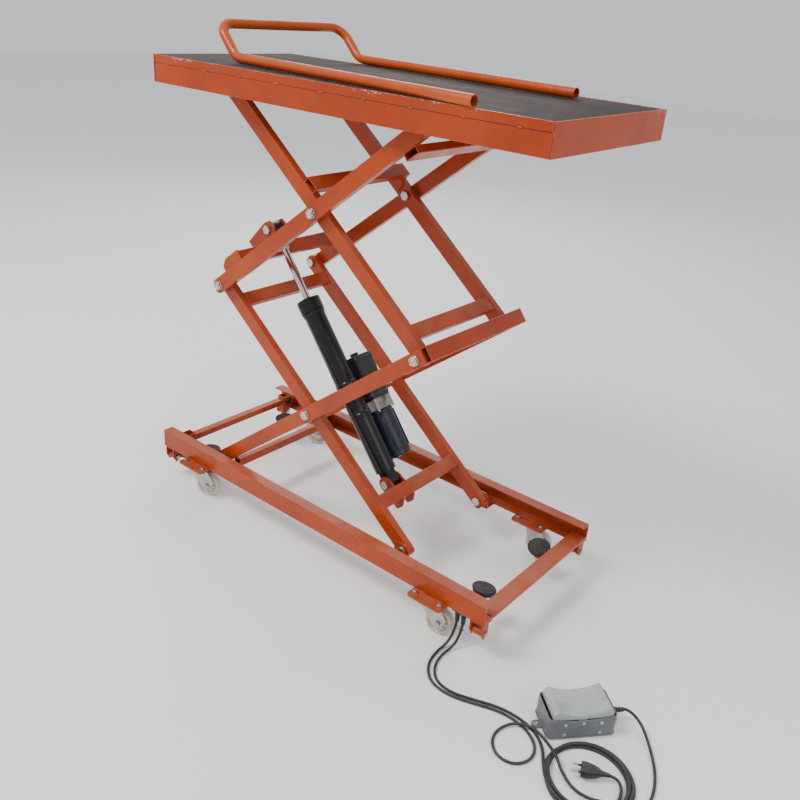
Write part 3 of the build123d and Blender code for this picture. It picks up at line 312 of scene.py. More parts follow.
def dusty_mat(name):
    """Black platform rubber gone brown-grey with dust, rubbed and streaked."""
    n = Nodes(name)
    n.shader.inputs["Specular IOR Level"].default_value = 0.10
    wide = n.noise(2.6, 7, 0.65, distort=0.6)
    tone = n.mix(n.ramp(wide, 0.32, 0.68), (0.036, 0.027, 0.026), (0.078, 0.058, 0.055))
    streak = n.noise(6.5, 8, 0.7, stretch=(0.35, 2.2, 1))
    tone = n.mix(n.ramp(streak, 0.50, 0.74, 0, 0.6), tone, (0.135, 0.110, 0.100))
    blot = n.ramp(n.noise(17, 8, 0.75), 0.57, 0.74, 0, 0.5)
    tone = n.mix(blot, tone, (0.022, 0.019, 0.018))
    speck = n.ramp(n.noise(170, 4, 0.7), 0.66, 0.72, 0, 0.6)
    n.colour(n.mix(speck, tone, (0.24, 0.20, 0.18)))
    n.rough(n.ramp(streak, 0.3, 0.7, 0.66, 0.85))
    height = n.math("ADD", n.math("MULTIPLY", n.noise(260, 5), 0.5), n.math("MULTIPLY", blot, 0.4))
    n.bump(height, 0.4, 0.0006, 0.001)
    return n.mat


PLATFORM_TOP_Z = 1.272
SOOT = (0.030, 0.026, 0.024)
PALE_SCUFF = (0.22, 0.21, 0.20)

ORANGE = old_paint("orange_enamel", (0.410, 0.053, 0.006), (0.310, 0.035, 0.004))
ORANGE_TOP = old_paint("orange_enamel_platform", (0.400, 0.049, 0.006), (0.325, 0.036, 0.005),
                       chips=0.54, dust=0.25, rim=PLATFORM_TOP_Z)
ORANGE_TUBE = old_paint("orange_enamel_tube", (0.490, 0.080, 0.011), (0.405, 0.059, 0.008),
                        rough=0.24, dust=0.15)
ORANGE_DARK = old_paint("orange_enamel_ram_lugs", (0.360, 0.036, 0.010), (0.250, 0.023, 0.007))
BLACK_GLOSS = old_paint("black_enamel", (0.014, 0.014, 0.015), (0.007, 0.007, 0.008),
                        rough=0.16, chips=0.68, dust=0.12, grime_tone=SOOT)
MOTOR = old_paint("motor_enamel", (0.026, 0.029, 0.046), (0.014, 0.016, 0.026),
                  rough=0.34, chips=0.64, dust=0.20, grime_tone=SOOT)
ZINC = metal("zinc_plate", (0.66, 0.65, 0.61), 0.30, grime=0.35)
FORK = metal("fork_zinc", (0.55, 0.54, 0.51), 0.36, grime=0.45)
CHROME = metal("hard_chrome", (0.83, 0.83, 0.84), 0.09, brushed=(9, 9, 1), grime=0.08)
ROLLER = metal("roller_steel", (0.36, 0.35, 0.33), 0.36, grime=0.5)
PIPE = metal("hydraulic_pipe", (0.20, 0.20, 0.20), 0.38, grime=0.4, metallic=0.9)
CAST = rough_cast("pump_cast", (0.42, 0.41, 0.40))
TANK = plastic("tank_black", (0.016, 0.016, 0.018), 0.30, grain=900, dust=0.35, scuff=PALE_SCUFF)
WHEEL = plastic("wheel_nylon", (0.60, 0.555, 0.45), 0.42, grain=500, dust=0.25,
                scuff=(0.22, 0.18, 0.13), lift=0.5)
PAD = plastic("pad_rubber", (0.012, 0.012, 0.012), 0.50, grain=700, dust=0.20, scuff=(0.20, 0.18, 0.17))
CABLE = plastic("cable_rubber", (0.024, 0.023, 0.023), 0.46, grain=900, dust=0.22,
                scuff=(0.22, 0.21, 0.19), soft=0.0)
PEDAL_DARK = plastic("pedal_shell_grey", (0.150, 0.165, 0.180), 0.42, grain=1100, dust=0.25)
PEDAL_LIGHT = plastic("pedal_rocker_grey", (0.44, 0.47, 0.47), 0.40, grain=1100, dust=0.20,
                      scuff=(0.20, 0.20, 0.19))
BLACK_PLASTIC = plastic("black_plastic", (0.018, 0.018, 0.019), 0.38, grain=900, dust=0.30,
                        scuff=PALE_SCUFF)
MAT_RUBBER = dusty_mat("platform_rubber")
# Dark colour for the strip on the platform's seam line: painted shadow of the seam's groove.
SEAM_PAINTED_SHADE = plastic("seam_shadow", (0.060, 0.010, 0.004), 0.7, dust=0.1, scuff=(0.12, 0.03, 0.02))
WELD = metal("weld_bead", (0.42, 0.050, 0.012), 0.38, grime=0.4, metallic=0.15, stain=(0.16, 0.05, 0.03))

camera()
studio()


def paint_nodes(material, *names):
    """Gives a material to whole CAD nodes."""
    for name in names:
        for slot in NODES[name].material_slots:
            slot.link = "OBJECT"
            slot.material = material


def named(*starts):
    """The CAD nodes whose names start so."""
    return [name for name in NODES if name.startswith(starts)]


paint_nodes(ORANGE, *named(
    "rail_", "cross_beam", "handle_sockets", "caster_plates", "foot_brackets", "foot_arms",
    "hinge_brackets", "lower_inner_arms", "lower_inner_ties", "lower_outer_arms", "lower_outer_ties",
    "upper_outer_arms", "upper_outer_ties", "upper_inner_arms", "upper_inner_ties", "platform_hinges"))
paint_nodes(ORANGE_TOP, "platform_frame", "platform_deck")
paint_nodes(ORANGE_TUBE, "push_handle")
paint_nodes(ORANGE_DARK, "ram_bracket_lower", "ram_bracket_upper")
paint_nodes(ZINC, *named(
    "base_bolts", "lower_arm_pins", "upper_arm_pins", "upper_roller_pins", "platform_pins",
    "ram_pin", "caster_top_plates"))
paint_nodes(FORK, *named("caster_fork"))
paint_nodes(WHEEL, *named("caster_wheel"))
paint_nodes(PAD, *named("levelling_foot"))
paint_nodes(ROLLER, "lower_rollers", "upper_rollers")
paint_nodes(BLACK_GLOSS, "cylinder_tube", "rod_eye")
paint_nodes(CHROME, "piston_rod")
paint_nodes(MOTOR, "motor")
paint_nodes(CAST, "pump_block")
paint_nodes(TANK, "oil_tank")
paint_nodes(PIPE, "hydraulic_pipe")
paint_nodes(MAT_RUBBER, "rubber_mat")
paint_nodes(PEDAL_DARK, "pedal_housing")
paint_nodes(PEDAL_LIGHT, "pedal_rocker")
paint_nodes(BLACK_PLASTIC, "mains_plug", "cable_glands")


# ---- mesh building blocks --------------------------------------------------------
def new_mesh(name, points, faces, material, body, smooth=True):
    """A mesh object that rides on a body."""
    mesh = bpy.data.meshes.new(name)
    mesh.from_pydata([tuple(p) for p in points], [], faces)
    mesh.validate()
    mesh.update()
    fixer = bmesh.new()
    fixer.from_mesh(mesh)
    bmesh.ops.recalc_face_normals(fixer, faces=fixer.faces)
    fixer.to_mesh(mesh)
    fixer.free()
    for face in mesh.polygons:
        face.use_smooth = smooth
    obj = bpy.data.objects.new(name, mesh)
    bpy.context.collection.objects.link(obj)
    obj.data.materials.append(material)
    if body:
        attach(obj, body)
    return obj


def frame_of(axis):
    """An axis and two directions across it."""
    axis = Vector(axis).normalized()
    side = Vector((0, 0, 1)) if abs(axis.z) < 0.9 else Vector((1, 0, 0))
    u = (side - side.project(axis)).normalized()
    return axis, u, axis.cross(u)


def tube_faces(rows, turns):
    """Faces between rings of points, with a cap on the first and the last ring."""
    faces = []
    for i in range(rows - 1):
        for k in range(turns):
            j = (k + 1) % turns
            faces.append((i * turns + k, i * turns + j, (i + 1) * turns + j, (i + 1) * turns + k))
    faces.append(tuple(range(turns))[::-1])
    faces.append(tuple((rows - 1) * turns + k for k in range(turns)))
    return faces


def mm(x, y, z):
    """A place given in millimetres, in metres."""
    return Vector((x, y, z)) * MM


def lathe(profile, origin, axis, turns=40):
    """A closed turned shape. The profile is (along, radius) from end to end, in millimetres."""
    axis, u, v = frame_of(axis)
    origin = Vector(origin)
    points = []
    for along, radius in profile:
        for k in range(turns):
            a = tau * k / turns
            points.append(origin + axis * (along * MM) + (u * cos(a) + v * sin(a)) * max(radius * MM, 1e-5))
    return points, tube_faces(len(profile), turns)


def sweep(path, radius, turns=12):
    """A tube along a list of points, its radius a number or a function of the way along."""
    path = [Vector(p) for p in path]
    points = []
    ahead = (path[1] - path[0]).normalized()
    u = frame_of(ahead)[1]
    for i, p in enumerate(path):
        ahead = (path[min(i + 1, len(path) - 1)] - path[max(i - 1, 0)]).normalized()
        u = (u - u.project(ahead)).normalized()
        v = ahead.cross(u)
        r = radius(i / (len(path) - 1)) if callable(radius) else radius
        for k in range(turns):
            a = tau * k / turns
            points.append(p + u * cos(a) * r + v * sin(a) * r)
    return points, tube_faces(len(path), turns)


class Pile:
    """Collects several shapes into one mesh."""

    def __init__(self):
        self.points, self.faces = [], []

    def put(self, shape):
        points, faces = shape
        base = len(self.points)
        self.points += points
        self.faces += [tuple(base + i for i in face) for face in faces]

    def make(self, name, material, body, smooth=True):
        return new_mesh(name, self.points, self.faces, material, body, smooth)


def bead(a, b, radius=BEAD_R, pitch=3.2 * MM):
    """A rippled weld bead between two points."""
    a, b = Vector(a), Vector(b)
    length = (b - a).length
    count = max(4, int(length / (pitch / 4)))
    wander = frame_of(b - a)[1]
    phase = RNG.uniform(0, tau)
    path = [a.lerp(b, i / count) + wander * 0.35 * MM * sin(phase + i * 0.31) for i in range(count + 1)]

    def size(t):
        ripple = 0.82 + 0.18 * abs(sin(pi * t * length / pitch + phase))
        ends = min(1.0, 6 * t + 0.35, 6 * (1 - t) + 0.35)
        return radius * ripple * ends
    return sweep(path, size, 8)


# ---- cables ----------------------------------------------------------------------
# The routes are in millimetres. A cable's line lies at FLOOR_Z where it rests on the floor.
CABLE_R = 3.5 * MM
FLOOR_Z = 3.6
MAINS_RUN = [(548, -239, 90), (548, -239, 50), (543, -260, 8), (536, -300, FLOOR_Z),
             (547, -346, FLOOR_Z), (579, -382, FLOOR_Z), (626, -388, FLOOR_Z), (673, -372, FLOOR_Z),
             (735, -347, FLOOR_Z), (790, -342, FLOOR_Z), (838, -353, FLOOR_Z), (872, -380, FLOOR_Z),
             (892, -412, FLOOR_Z), (912, -440, FLOOR_Z)]
MAINS_TAIL = [(1054, -420, FLOOR_Z), (1061, -392, FLOOR_Z), (1053, -364, 8), (1034, -351.34, 17.5),
              (1012, -362, 17.5)]
PEDAL_RUN = [(530, -239, 90), (530, -239, 50), (525, -262, 8), (520, -300, FLOOR_Z),
             (532, -354, FLOOR_Z), (571, -394, FLOOR_Z), (626, -399, FLOOR_Z), (677, -383, FLOOR_Z),
             (738, -358, FLOOR_Z), (788, -354, FLOOR_Z), (832, -366, FLOOR_Z), (864, -394, FLOOR_Z),
             (870, -432, FLOOR_Z), (848, -464, FLOOR_Z), (808, -468, FLOOR_Z), (776, -440, FLOOR_Z),
             (770, -400, FLOOR_Z), (790, -366, 9), (826, -352, 12.5), (862, -366, 18),
             (886, -380, 21), (911, -393, 21), (936, -412, 9), (974, -431, 4.5), (1014, -432, 8),
             (1044, -428, 21), (1078, -421, 21), (1101, -403, 9), (1110, -372, FLOOR_Z),
             (1108, -328, FLOOR_Z), (1088, -272, FLOOR_Z), (1047, -214, 7), (1002, -172, 19),
             (967, -168, 28)]
COIL_X, COIL_Y = 986.0, -386.0
PEDAL_AT, PEDAL_YAW = Vector((885, -262, 0)), radians(48.9)


def pedal_point(along, across, z):
    """A point of the foot switch, in millimetres, from its middle."""
    return PEDAL_AT + Vector((along * cos(PEDAL_YAW) - across * sin(PEDAL_YAW),
                              along * sin(PEDAL_YAW) + across * cos(PEDAL_YAW), z))


def coil_turns():
    """Loose turns of the mains lead: they vary in size and lie beside and on each other."""
    turns, steps, start, end = 5, 14, radians(222), radians(338)
    outer, lane_width, lift = 98.0, 7.2, 7.1
    lanes = (0.0, 1.0, 2.0, 0.5, 1.5, 1.0)
    climb, descend = 2.9, 4.9
    total = turns * tau + (end - start)
    count = int(turns * steps + steps * (end - start) / tau)
    points = []
    for i in range(1, count):
        t = i / count
        a = start + total * t
        turn = t * total / tau
        lane, lane_next = lanes[min(int(turn), 5)], lanes[min(int(turn) + 1, 5)]
        blend = (turn - int(turn)) ** 3
        radius = outer - lane_width * (lane + (lane_next - lane) * blend)
        layer = 0.0 if turn < climb else min(1.0, (turn - climb) * 4)
        if turn > descend:
            layer = max(0.0, 1.0 - (turn - descend) * 4)
            radius = min(radius, 90.0)
        wobble = 1.1 * sin(2.1 * a) + 0.8 * sin(0.77 * a + 1.0)
        points.append((COIL_X + (radius + wobble) * cos(a), COIL_Y + (radius + wobble) * sin(a),
                       FLOOR_Z + lift * layer))
    return points


def nurbs(name, route):
    """A cable as a smooth spline with the route's points as its control points."""
    data = bpy.data.curves.new(name, "CURVE")
    data.dimensions = "3D"
    spline = data.splines.new("NURBS")
    spline.points.add(len(route) - 1)
    for point, place in zip(spline.points, route):
        point.co = (*(Vector(place) * MM), 1)
    spline.order_u = 3
    spline.use_endpoint_u = True
    spline.resolution_u = 8
    data.bevel_depth = CABLE_R
    data.bevel_resolution = 4
    data.use_fill_caps = True
    obj = bpy.data.objects.new(name, data)
    bpy.context.collection.objects.link(obj)
    data.materials.append(CABLE)
    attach(obj, "base")
    return obj


def spline_length(obj):
    """Length of a curve object's own line, in metres."""
    plain = obj.copy()
    plain.data = obj.data.copy()
    plain.data.bevel_depth = 0
    bpy.context.collection.objects.link(plain)
    mesh = bpy.data.meshes.new_from_object(plain)
    line = [v.co.copy() for v in mesh.vertices]
    bpy.data.objects.remove(plain)
    return sum((b - a).length for a, b in zip(line, line[1:]))


mains = nurbs("mains_lead", MAINS_RUN + coil_turns() + MAINS_TAIL)
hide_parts("cable_mains", "cable_coil")
pedal_tail = [tuple(pedal_point(104, 0, 28)), tuple(pedal_point(94, 0, 28))]
pedal_lead = nurbs("foot_switch_lead", PEDAL_RUN + pedal_tail)
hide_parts("cable_pedal")
mains_len = spline_length(mains)
pedal_len = spline_length(pedal_lead)

GLAND_RIBS = [(0.0, 7.2), (2, 7.2), (3, 6.4), (7, 6.2), (8, 5.2), (10, 5.2), (11, 6.0), (14, 5.8),
              (15, 4.9), (17, 4.9), (18, 5.6), (21, 5.3), (22, 4.4), (25, 4.3)]
reliefs = Pile()
for gland in (MAINS_RUN, PEDAL_RUN):
    x, y, z = Vector(gland[0]) * MM
    reliefs.put(lathe(GLAND_RIBS, (x, y, z + 0.2 * MM), (0, 0, -1), 28))
reliefs.make("gland_reliefs", BLACK_PLASTIC, "base")

# ---- the linkage, worked out from the joints ---------------------------------------
JOINTS = {joint["name"]: joint for joint in frame["record"]["behaviour"]["joints"]}


def pivot(name):
    """A joint's place, in millimetres."""
    return Vector(JOINTS[name]["pos_m"]) / MM


HINGE, MIDDLE = pivot("lift"), pivot("middle_pivot")
LOW_C, HIGH_C = pivot("lower_scissor"), pivot("upper_scissor")
TOP_HINGE, LOW_ROLL = pivot("platform_hinge"), pivot("lower_roller_spin")
RIGHT_MID = Vector((HINGE.x, 0, MIDDLE.z))
ARM_HALF = (LOW_C - HINGE).length
SLOPE_C, SLOPE_S = (HINGE.x - LOW_C.x) / ARM_HALF, (LOW_C.z - HINGE.z) / ARM_HALF
# Millimetres: the arms' outer faces and section, the ram's plane, and the outer faces of the hinge plates
OUT_Y, IN_Y, ARM_T, ARM_H = 205.0, 182.0, 20.0, 40.0
RAM_Y = -55.0
RAM_LUG_Y = (RAM_Y - 26, RAM_Y + 26)
HINGE_FACE_Y, PLATFORM_FACE_Y = 189.5, 214.0


def inner_arm(start, along, height, y):
    """A point on an arm that slopes up to the left, in metres."""
    return mm(start.x - SLOPE_C * along + SLOPE_S * height, y, start.z + SLOPE_S * along + SLOPE_C * height)


def outer_arm(start, along, height, y):
    """A point on an arm that slopes up to the right, in metres."""
    return mm(start.x + SLOPE_C * along - SLOPE_S * height, y, start.z + SLOPE_S * along + SLOPE_C * height)


def arm_bead(pile, arm, start, first, last, radius=BEAD_R):
    """A bead between two points of an arm, each (along, height, y)."""
    pile.put(bead(arm(start, *first), arm(start, *last), radius))


def square_welds(pile, arm, start, along, height, size, y, gap=2.0):
    """Beads round a tie's rectangle where its end meets an arm's side."""
    a, b = size[0] / 2, size[1] / 2
    ring = [(along - a, height - b), (along + a, height - b),
            (along + a, height + b), (along - a, height + b)]
    for (a0, h0), (a1, h1) in zip(ring, ring[1:] + ring[:1]):
        step_a = gap * (a1 > a0) - gap * (a1 < a0)
        step_h = gap * (h1 > h0) - gap * (h1 < h0)
        arm_bead(pile, arm, start, (a0 + step_a, h0 + step_h, y), (a1 - step_a, h1 - step_h, y))


def scissor_welds():
    """Fillet welds where the ties meet the arms, one piece for each arm pair."""
    in_face, out_face = IN_Y - ARM_T, OUT_Y - ARM_T
    skin = ARM_H / 2 + 0.5
    pile = Pile()
    for side in (-1, 1):
        for along in (136, 822):
            square_welds(pile, inner_arm, HINGE, along, 10, (ARM_H, ARM_T), side * in_face)
    for y in RAM_LUG_Y:
        arm_bead(pile, inner_arm, HINGE, (117, -0.5, y), (155, -0.5, y))
    pile.make("welds_lower_inner", WELD, "lower_inner")
    pile = Pile()
    end = 2 * ARM_HALF + 31
    for side in (-1, 1):
        outside, inside = side * OUT_Y, side * out_face
        for height in (-18, 18):
            arm_bead(pile, outer_arm, LOW_ROLL, (end, height, outside), (end, height, inside))
        proud = side * (OUT_Y + 0.3)
        arm_bead(pile, outer_arm, LOW_ROLL, (end, -17, proud), (end, 17, proud), 2.0 * MM)
        arm_bead(pile, outer_arm, LOW_ROLL, (end, -17, inside), (end, 17, inside))
        for along in (29.5, 44.0):
            arm_bead(pile, outer_arm, LOW_ROLL, (along, -skin, side * 187), (along, -skin, side * 191))
    pile.make("welds_lower_outer", WELD, "lower_outer")
    pile = Pile()
    for side in (-1, 1):
        square_welds(pile, inner_arm, RIGHT_MID, 62, 10, (ARM_H, ARM_T), side * in_face)
        for along in (486, 526):
            arm_bead(pile, inner_arm, RIGHT_MID, (along, skin, side * 163), (along, skin, side * 181))
    pile.make("welds_upper_inner", WELD, "upper_inner")
    pile = Pile()
    for side in (-1, 1):
        square_welds(pile, outer_arm, MIDDLE, 105, 32, (ARM_T, ARM_H), side * out_face)
        arm_bead(pile, outer_arm, MIDDLE, (36, skin, side * 190), (116, skin, side * 190))
        for along in (775, 815):
            arm_bead(pile, outer_arm, MIDDLE, (along, -skin, side * 187), (along, -skin, side * 204))
    for y in RAM_LUG_Y:
        arm_bead(pile, outer_arm, MIDDLE, (95, 52.5, y), (115, 52.5, y))
        arm_bead(pile, outer_arm, MIDDLE, (115.5, 34, y), (115.5, 50, y))
    pile.make("welds_upper_outer", WELD, "upper_outer")


def base_welds():
    """Welds of the base frame: sockets, cross plate, hinge brackets, foot brackets and caster plates."""
    pile = Pile()
    socket_x, socket_half, foot_x, plate_x, top = -556.0, 12.5, 594, 454, 109

    def run(first, last):
        pile.put(bead(mm(*first), mm(*last)))

    for side in (-1, 1):
        rail, socket, bracket = side * 222.5, side * 190.5, side * HINGE_FACE_Y
        for x in (socket_x - 16, socket_x + 16):
            run((x, rail, 110), (x, rail, 158))
        left, right = socket_x - socket_half, socket_x + socket_half
        ring = [(left, 131), (right, 131), (right, 151), (left, 151)]
        for (x0, z0), (x1, z1) in zip(ring, ring[1:] + ring[:1]):
            run((x0, socket, z0), (x1, socket, z1))
        run((573, rail, 122), (616.5, rail, 122))
        run((573, rail, 113), (573, rail, 122))
        for x in (HINGE.x - 24, HINGE.x + 24):
            run((x, bracket, 115), (x, rail, 115))
        run((HINGE.x - 23, bracket, 115.4), (HINGE.x + 23, bracket, 115.4))
        for sx in (-1, 1):
            for x in (sx * foot_x - 19, sx * foot_x + 19):
                run((x, side * 227, top), (x, side * 253, top))
            plate, lip = sx * plate_x, side * 255.8
            for x in (plate - 52, plate + 52):
                run((x, side * 224, top), (x, side * 254, top))
            run((plate - 46, lip, top + 0.3), (plate - 12, lip, top + 0.3))
            run((plate + 12, lip, top + 0.3), (plate + 46, lip, top + 0.3))
    pile.make("welds_base", WELD, "base")


def platform_welds():
    """Spot welds along the platform's seam, its corner welds, and a thin dark strip on each seam line that is
    painted shadow of the seam's groove.
    """
    pile = Pile()
    low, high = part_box("platform_frame")
    seam, end_height, count = 1252.0 * MM, 1264 * MM, 9
    for side, y in ((-1, low[1]), (1, high[1])):
        for k in range(count):
            x = low[0] + (high[0] - low[0]) * (k + 0.5) / count + RNG.uniform(-8, 8) * MM
            half = RNG.uniform(5, 9) * MM
            pile.put(bead((x - half, y, seam), (x + half, y, seam), 2.4 * MM))
        for x in (low[0] + 4 * MM, high[0] - 4 * MM):
            pile.put(bead((x, y, low[2] + 2 * MM), (x, y, high[2] - 2 * MM), 1.9 * MM))
        hinge = TOP_HINGE.x * MM
        for x in (hinge - 28 * MM, hinge + 28 * MM):
            face = side * PLATFORM_FACE_Y * MM
            pile.put(bead((x, face, 1205 * MM), (x, face, 1262 * MM)))
    for x in (low[0] + 4 * MM, high[0] - 4 * MM):
        for k in range(3):
            y = -0.16 + 0.16 * k
            pile.put(bead((x, y - 12 * MM, end_height), (x, y + 12 * MM, end_height)))
    pile.make("welds_platform", WELD, "platform")
    pile = Pile()
    # A thin dark strip on each side's seam line: painted shadow of the seam's groove.
    for side, y in ((-1, low[1]), (1, high[1])):
        start = Vector((low[0] + 3 * MM, y, seam))
        end = Vector((high[0] - 3 * MM, y, seam))
        pile.put(sweep([start, start.lerp(end, 0.5), end], 0.55 * MM, 6))
    pile.make("platform_seam_painted_shadow", SEAM_PAINTED_SHADE, "platform")


def washers():
    """Plain washers under the pivot bolts' heads, and a grease point in each head's middle."""
    spots = {"lower_outer": (LOW_C, RIGHT_MID), "upper_outer": (MIDDLE, HIGH_C)}
    ring = [(0, 8.2), (0, 12.6), (0.3, 13.0), (1.3, 13.0), (1.6, 12.6), (1.6, 8.2)]
    dome = [(0, 9.6), (1.0, 9.4), (1.9, 7.5), (2.3, 4.2), (3.6, 3.6), (4.4, 2.4), (4.8, 0.6)]
    for body, places in spots.items():
        pile = Pile()
        for spot in places:
            for side in (-1, 1):
                at = mm(spot.x, side * OUT_Y, spot.z)
                pile.put(lathe(ring, at, (0, side, 0), 36))
                tip = mm(spot.x, side * (OUT_Y + 7), spot.z)
                pile.put(lathe(dome, tip, (0, side, 0), 24))
        pile.make("washers_" + body, ZINC, body)
    for body, spot, face in (("base", HINGE, HINGE_FACE_Y), ("platform", TOP_HINGE, PLATFORM_FACE_Y)):
        pile = Pile()
        for side in (-1, 1):
            at = mm(spot.x, side * face, spot.z)
            pile.put(lathe(ring, at, (0, side, 0), 36))
        pile.make("washers_" + body, ZINC, body)


# ---- casters and feet ---------------------------------------------------------------
CORNERS = {"near_right": (1, -1), "near_left": (-1, -1), "far_right": (1, 1), "far_left": (-1, 1)}


def caster_wheel(corner):
    """Moulded wheel: rounded tread, ribbed web, hub and dust caps."""
    joint = JOINTS["roll_" + corner]
    hub, axis = Vector(joint["pos_m"]), Vector(joint["axis"])
    half = 12.5
    tread = [(-half, 9.5), (-half, 13.2), (-half + 0.8, 14.0), (-half + 5.2, 15.2), (-half + 5.8, 17.0),
             (-half + 5.8, 25.0), (-half + 5.0, 26.8), (-half + 1.6, 28.0), (-half + 0.8, 29.0),
             (-half + 0.8, 32.5), (-half + 1.6, 34.6), (-half + 3.2, 36.2), (-half + 5.6, 37.2),
             (-4, 37.5), (-0.5, 37.5), (-0.3, 37.2), (0.3, 37.2), (0.5, 37.5), (4, 37.5)]
    profile = tread + [(-a, r) for a, r in reversed(tread[:13])]
    piece = Pile()
    piece.put(lathe(profile, hub, axis, 64))
    axis_n, u, v = frame_of(axis)
    for side in (-1, 1):
        for k in range(8):
            a = tau * k / 8
            out = u * cos(a) + v * sin(a)
            start = hub + axis_n * side * 8.3 * MM + out * 14.2 * MM
            end = hub + axis_n * side * 8.3 * MM + out * 27.4 * MM
            piece.put(sweep([start, start.lerp(end, 0.5), end], 1.5 * MM, 8))
    wheel = piece.make("wheel_" + corner, WHEEL, "wheel_" + corner)
    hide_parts("caster_wheel_" + corner)


def swivel_race(corner):
    """Bearing race with its dust lip between the top plate and the fork."""
    place = Vector(JOINTS["swivel_" + corner]["pos_m"]) / MM
    profile = [(0, 21), (0, 27.5), (-0.7, 28.4), (-2.2, 28.4), (-3.0, 27.4), (-4.4, 25.6), (-4.4, 21)]
    at = mm(place.x, place.y, 101.4)
    new = Pile()
    new.put(lathe(profile, at, (0, 0, 1), 48))
    nut = [(0, 11), (-1.0, 11.6), (-6.5, 11.6), (-7.4, 10.6), (-7.6, 6.4), (-8.6, 6.0), (-9.0, 4.8)]
    new.put(lathe(nut, mm(place.x, place.y, 88.0), (0, 0, 1), 6))
    new.make("swivel_race_" + corner, FORK, "caster_" + corner)


# The height of each pad's face, in millimetres, and its tilt, in degrees
FOOT_FACE = {"near_right": (119.0, 11.0), "far_right": (111.0, 16.0),
             "near_left": (108.0, 3.0), "far_left": (108.0, 3.0)}


def levelling_foot(corner):
    """Two-tier rubber pad on a threaded stud with a lock nut."""
    sx, side = CORNERS[corner]
    place = Vector(JOINTS["foot_turn_" + corner]["pos_m"]) / MM
    face_z, tilt = FOOT_FACE[corner]
    lean = radians(tilt)
    ball = mm(place.x, place.y, face_z - 18)
    up = Vector((0.04 * sx, -side * sin(lean), cos(lean)))
    pad_profile = [(-3, 6), (-3, 18.5), (-2.2, 20.5), (2.4, 28.0), (3.2, 28.8), (8.4, 28.8), (9.2, 29.4),
                   (10.6, 31.2), (11.4, 31.9), (14.6, 31.9), (15.6, 31.2), (17.4, 29.4), (17.9, 28.2),
                   (17.6, 26.4), (16.6, 25.6), (16.6, 23.2), (17.6, 22.4), (17.6, 18.2), (16.6, 17.4),
                   (16.6, 15.0), (17.6, 14.2), (17.6, 9.6), (16.8, 8.8), (16.8, 4.0), (17.2, 0.5)]
    pile = Pile()
    pile.put(lathe(pad_profile, ball, up, 56))
    pad = pile.make("foot_pad_" + corner, PAD, "foot_" + corner)
    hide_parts("levelling_foot_" + corner)
    pile = Pile()
    pitch, low, high = 1.5, 52.3, face_z - 20.5
    thread = [(0, 4.6)]
    rows = int((high - low) / (pitch / 2))
    for k in range(rows):
        thread.append((0.6 + k * pitch / 2, 5.95 if k % 2 else 5.15))
    pile.put(lathe(thread, mm(place.x, place.y, low), (0, 0, 1), 28))
    nut_z = 80.3
    nut = [(0, 9.6), (0.7, 10.5), (5.0, 10.5), (5.7, 9.6)]
    pile.put(lathe(nut, mm(place.x, place.y, nut_z), (0, 0, 1), 6))
    collar = [(-4.2, 6.6), (-3.0, 9.2), (-2.9, 11.0), (-2.4, 11.4)]
    pile.put(lathe(collar, ball, up, 32))
    pile.make("foot_stud_" + corner, ZINC, "foot_" + corner)


# ---- ram and power pack ---------------------------------------------------------------
RAM_LOW = pivot("ram_swing")
RAM_AIM = Vector(JOINTS["rod_slide"]["axis"]).normalized()
RAM_LEN = 782.3
RAM_SIDE = Vector((0, 1, 0))
RAM_UP = RAM_AIM.cross(RAM_SIDE)
PACK_LOW = RAM_LOW + Vector((0, 75, 0))


def ram_at(along, side=0.0, up=0.0, start=None):
    """A point beside the ram's axis, in metres."""
    start = RAM_LOW if start is None else start
    return (start + RAM_AIM * along + RAM_SIDE * side + RAM_UP * up) * MM


def ring_on(pile, start, along, rings, turns=56):
    """Adds a turned collar round the ram's axis or the pack's axis."""
    pile.put(lathe(rings, (start + RAM_AIM * along) * MM, RAM_AIM, turns))


def ram_details():
    """Gland rings and wiper of the cylinder, its port boss, the rod's lock nut and the band clamps."""
    pile = Pile()
    for along in (530, 538, 546):
        ring_on(pile, RAM_LOW, along, [(0, 30), (0.5, 34.6), (2.4, 34.6), (2.9, 30)])
    for along in (205, 300):
        ring_on(pile, RAM_LOW, along, [(-8, 29.9), (-8, 31.4), (8, 31.4), (8, 29.9)])
    ring_on(pile, RAM_LOW, 512, [(0, 30.0), (1.5, 31.6), (7.0, 32.4), (9.9, 33.6), (10, 30)])
    pile.make("cylinder_gland_rings", BLACK_GLOSS, "cylinder")
    pile = Pile()
    wiper = [(0, 12), (0, 20.5), (1.6, 20.5), (2.2, 19.6), (3.0, 14.6), (4.4, 12.4), (4.6, 11.35)]
    ring_on(pile, RAM_LOW, 561.4, wiper)
    pile.make("rod_wiper", BLACK_PLASTIC, "cylinder")
    pile = Pile()
    boss, stub = ((0, 9), (0.6, 9.6), (8, 9.6), (8.6, 9), (8.6, 4.5)), ((0, 4.5), (5, 4.5), (5.6, 4.0))
    pile.put(lathe(boss, ram_at(66, 0, 29), RAM_UP, 6))
    pile.put(lathe(stub, ram_at(66, 0, 37), RAM_UP, 20))
    pile.make("cylinder_clamps", ZINC, "cylinder")
    pile = Pile()
    ring_on(pile, RAM_LOW, RAM_LEN - 66, [(0, 15.6), (1.2, 17.2), (10.8, 17.2), (12, 15.6)], 6)
    ring_on(pile, RAM_LOW, RAM_LEN - 54, [(0, 14), (1, 15), (11, 15), (12, 14)], 40)
    pile.make("rod_lock_nut", ZINC, "rod")


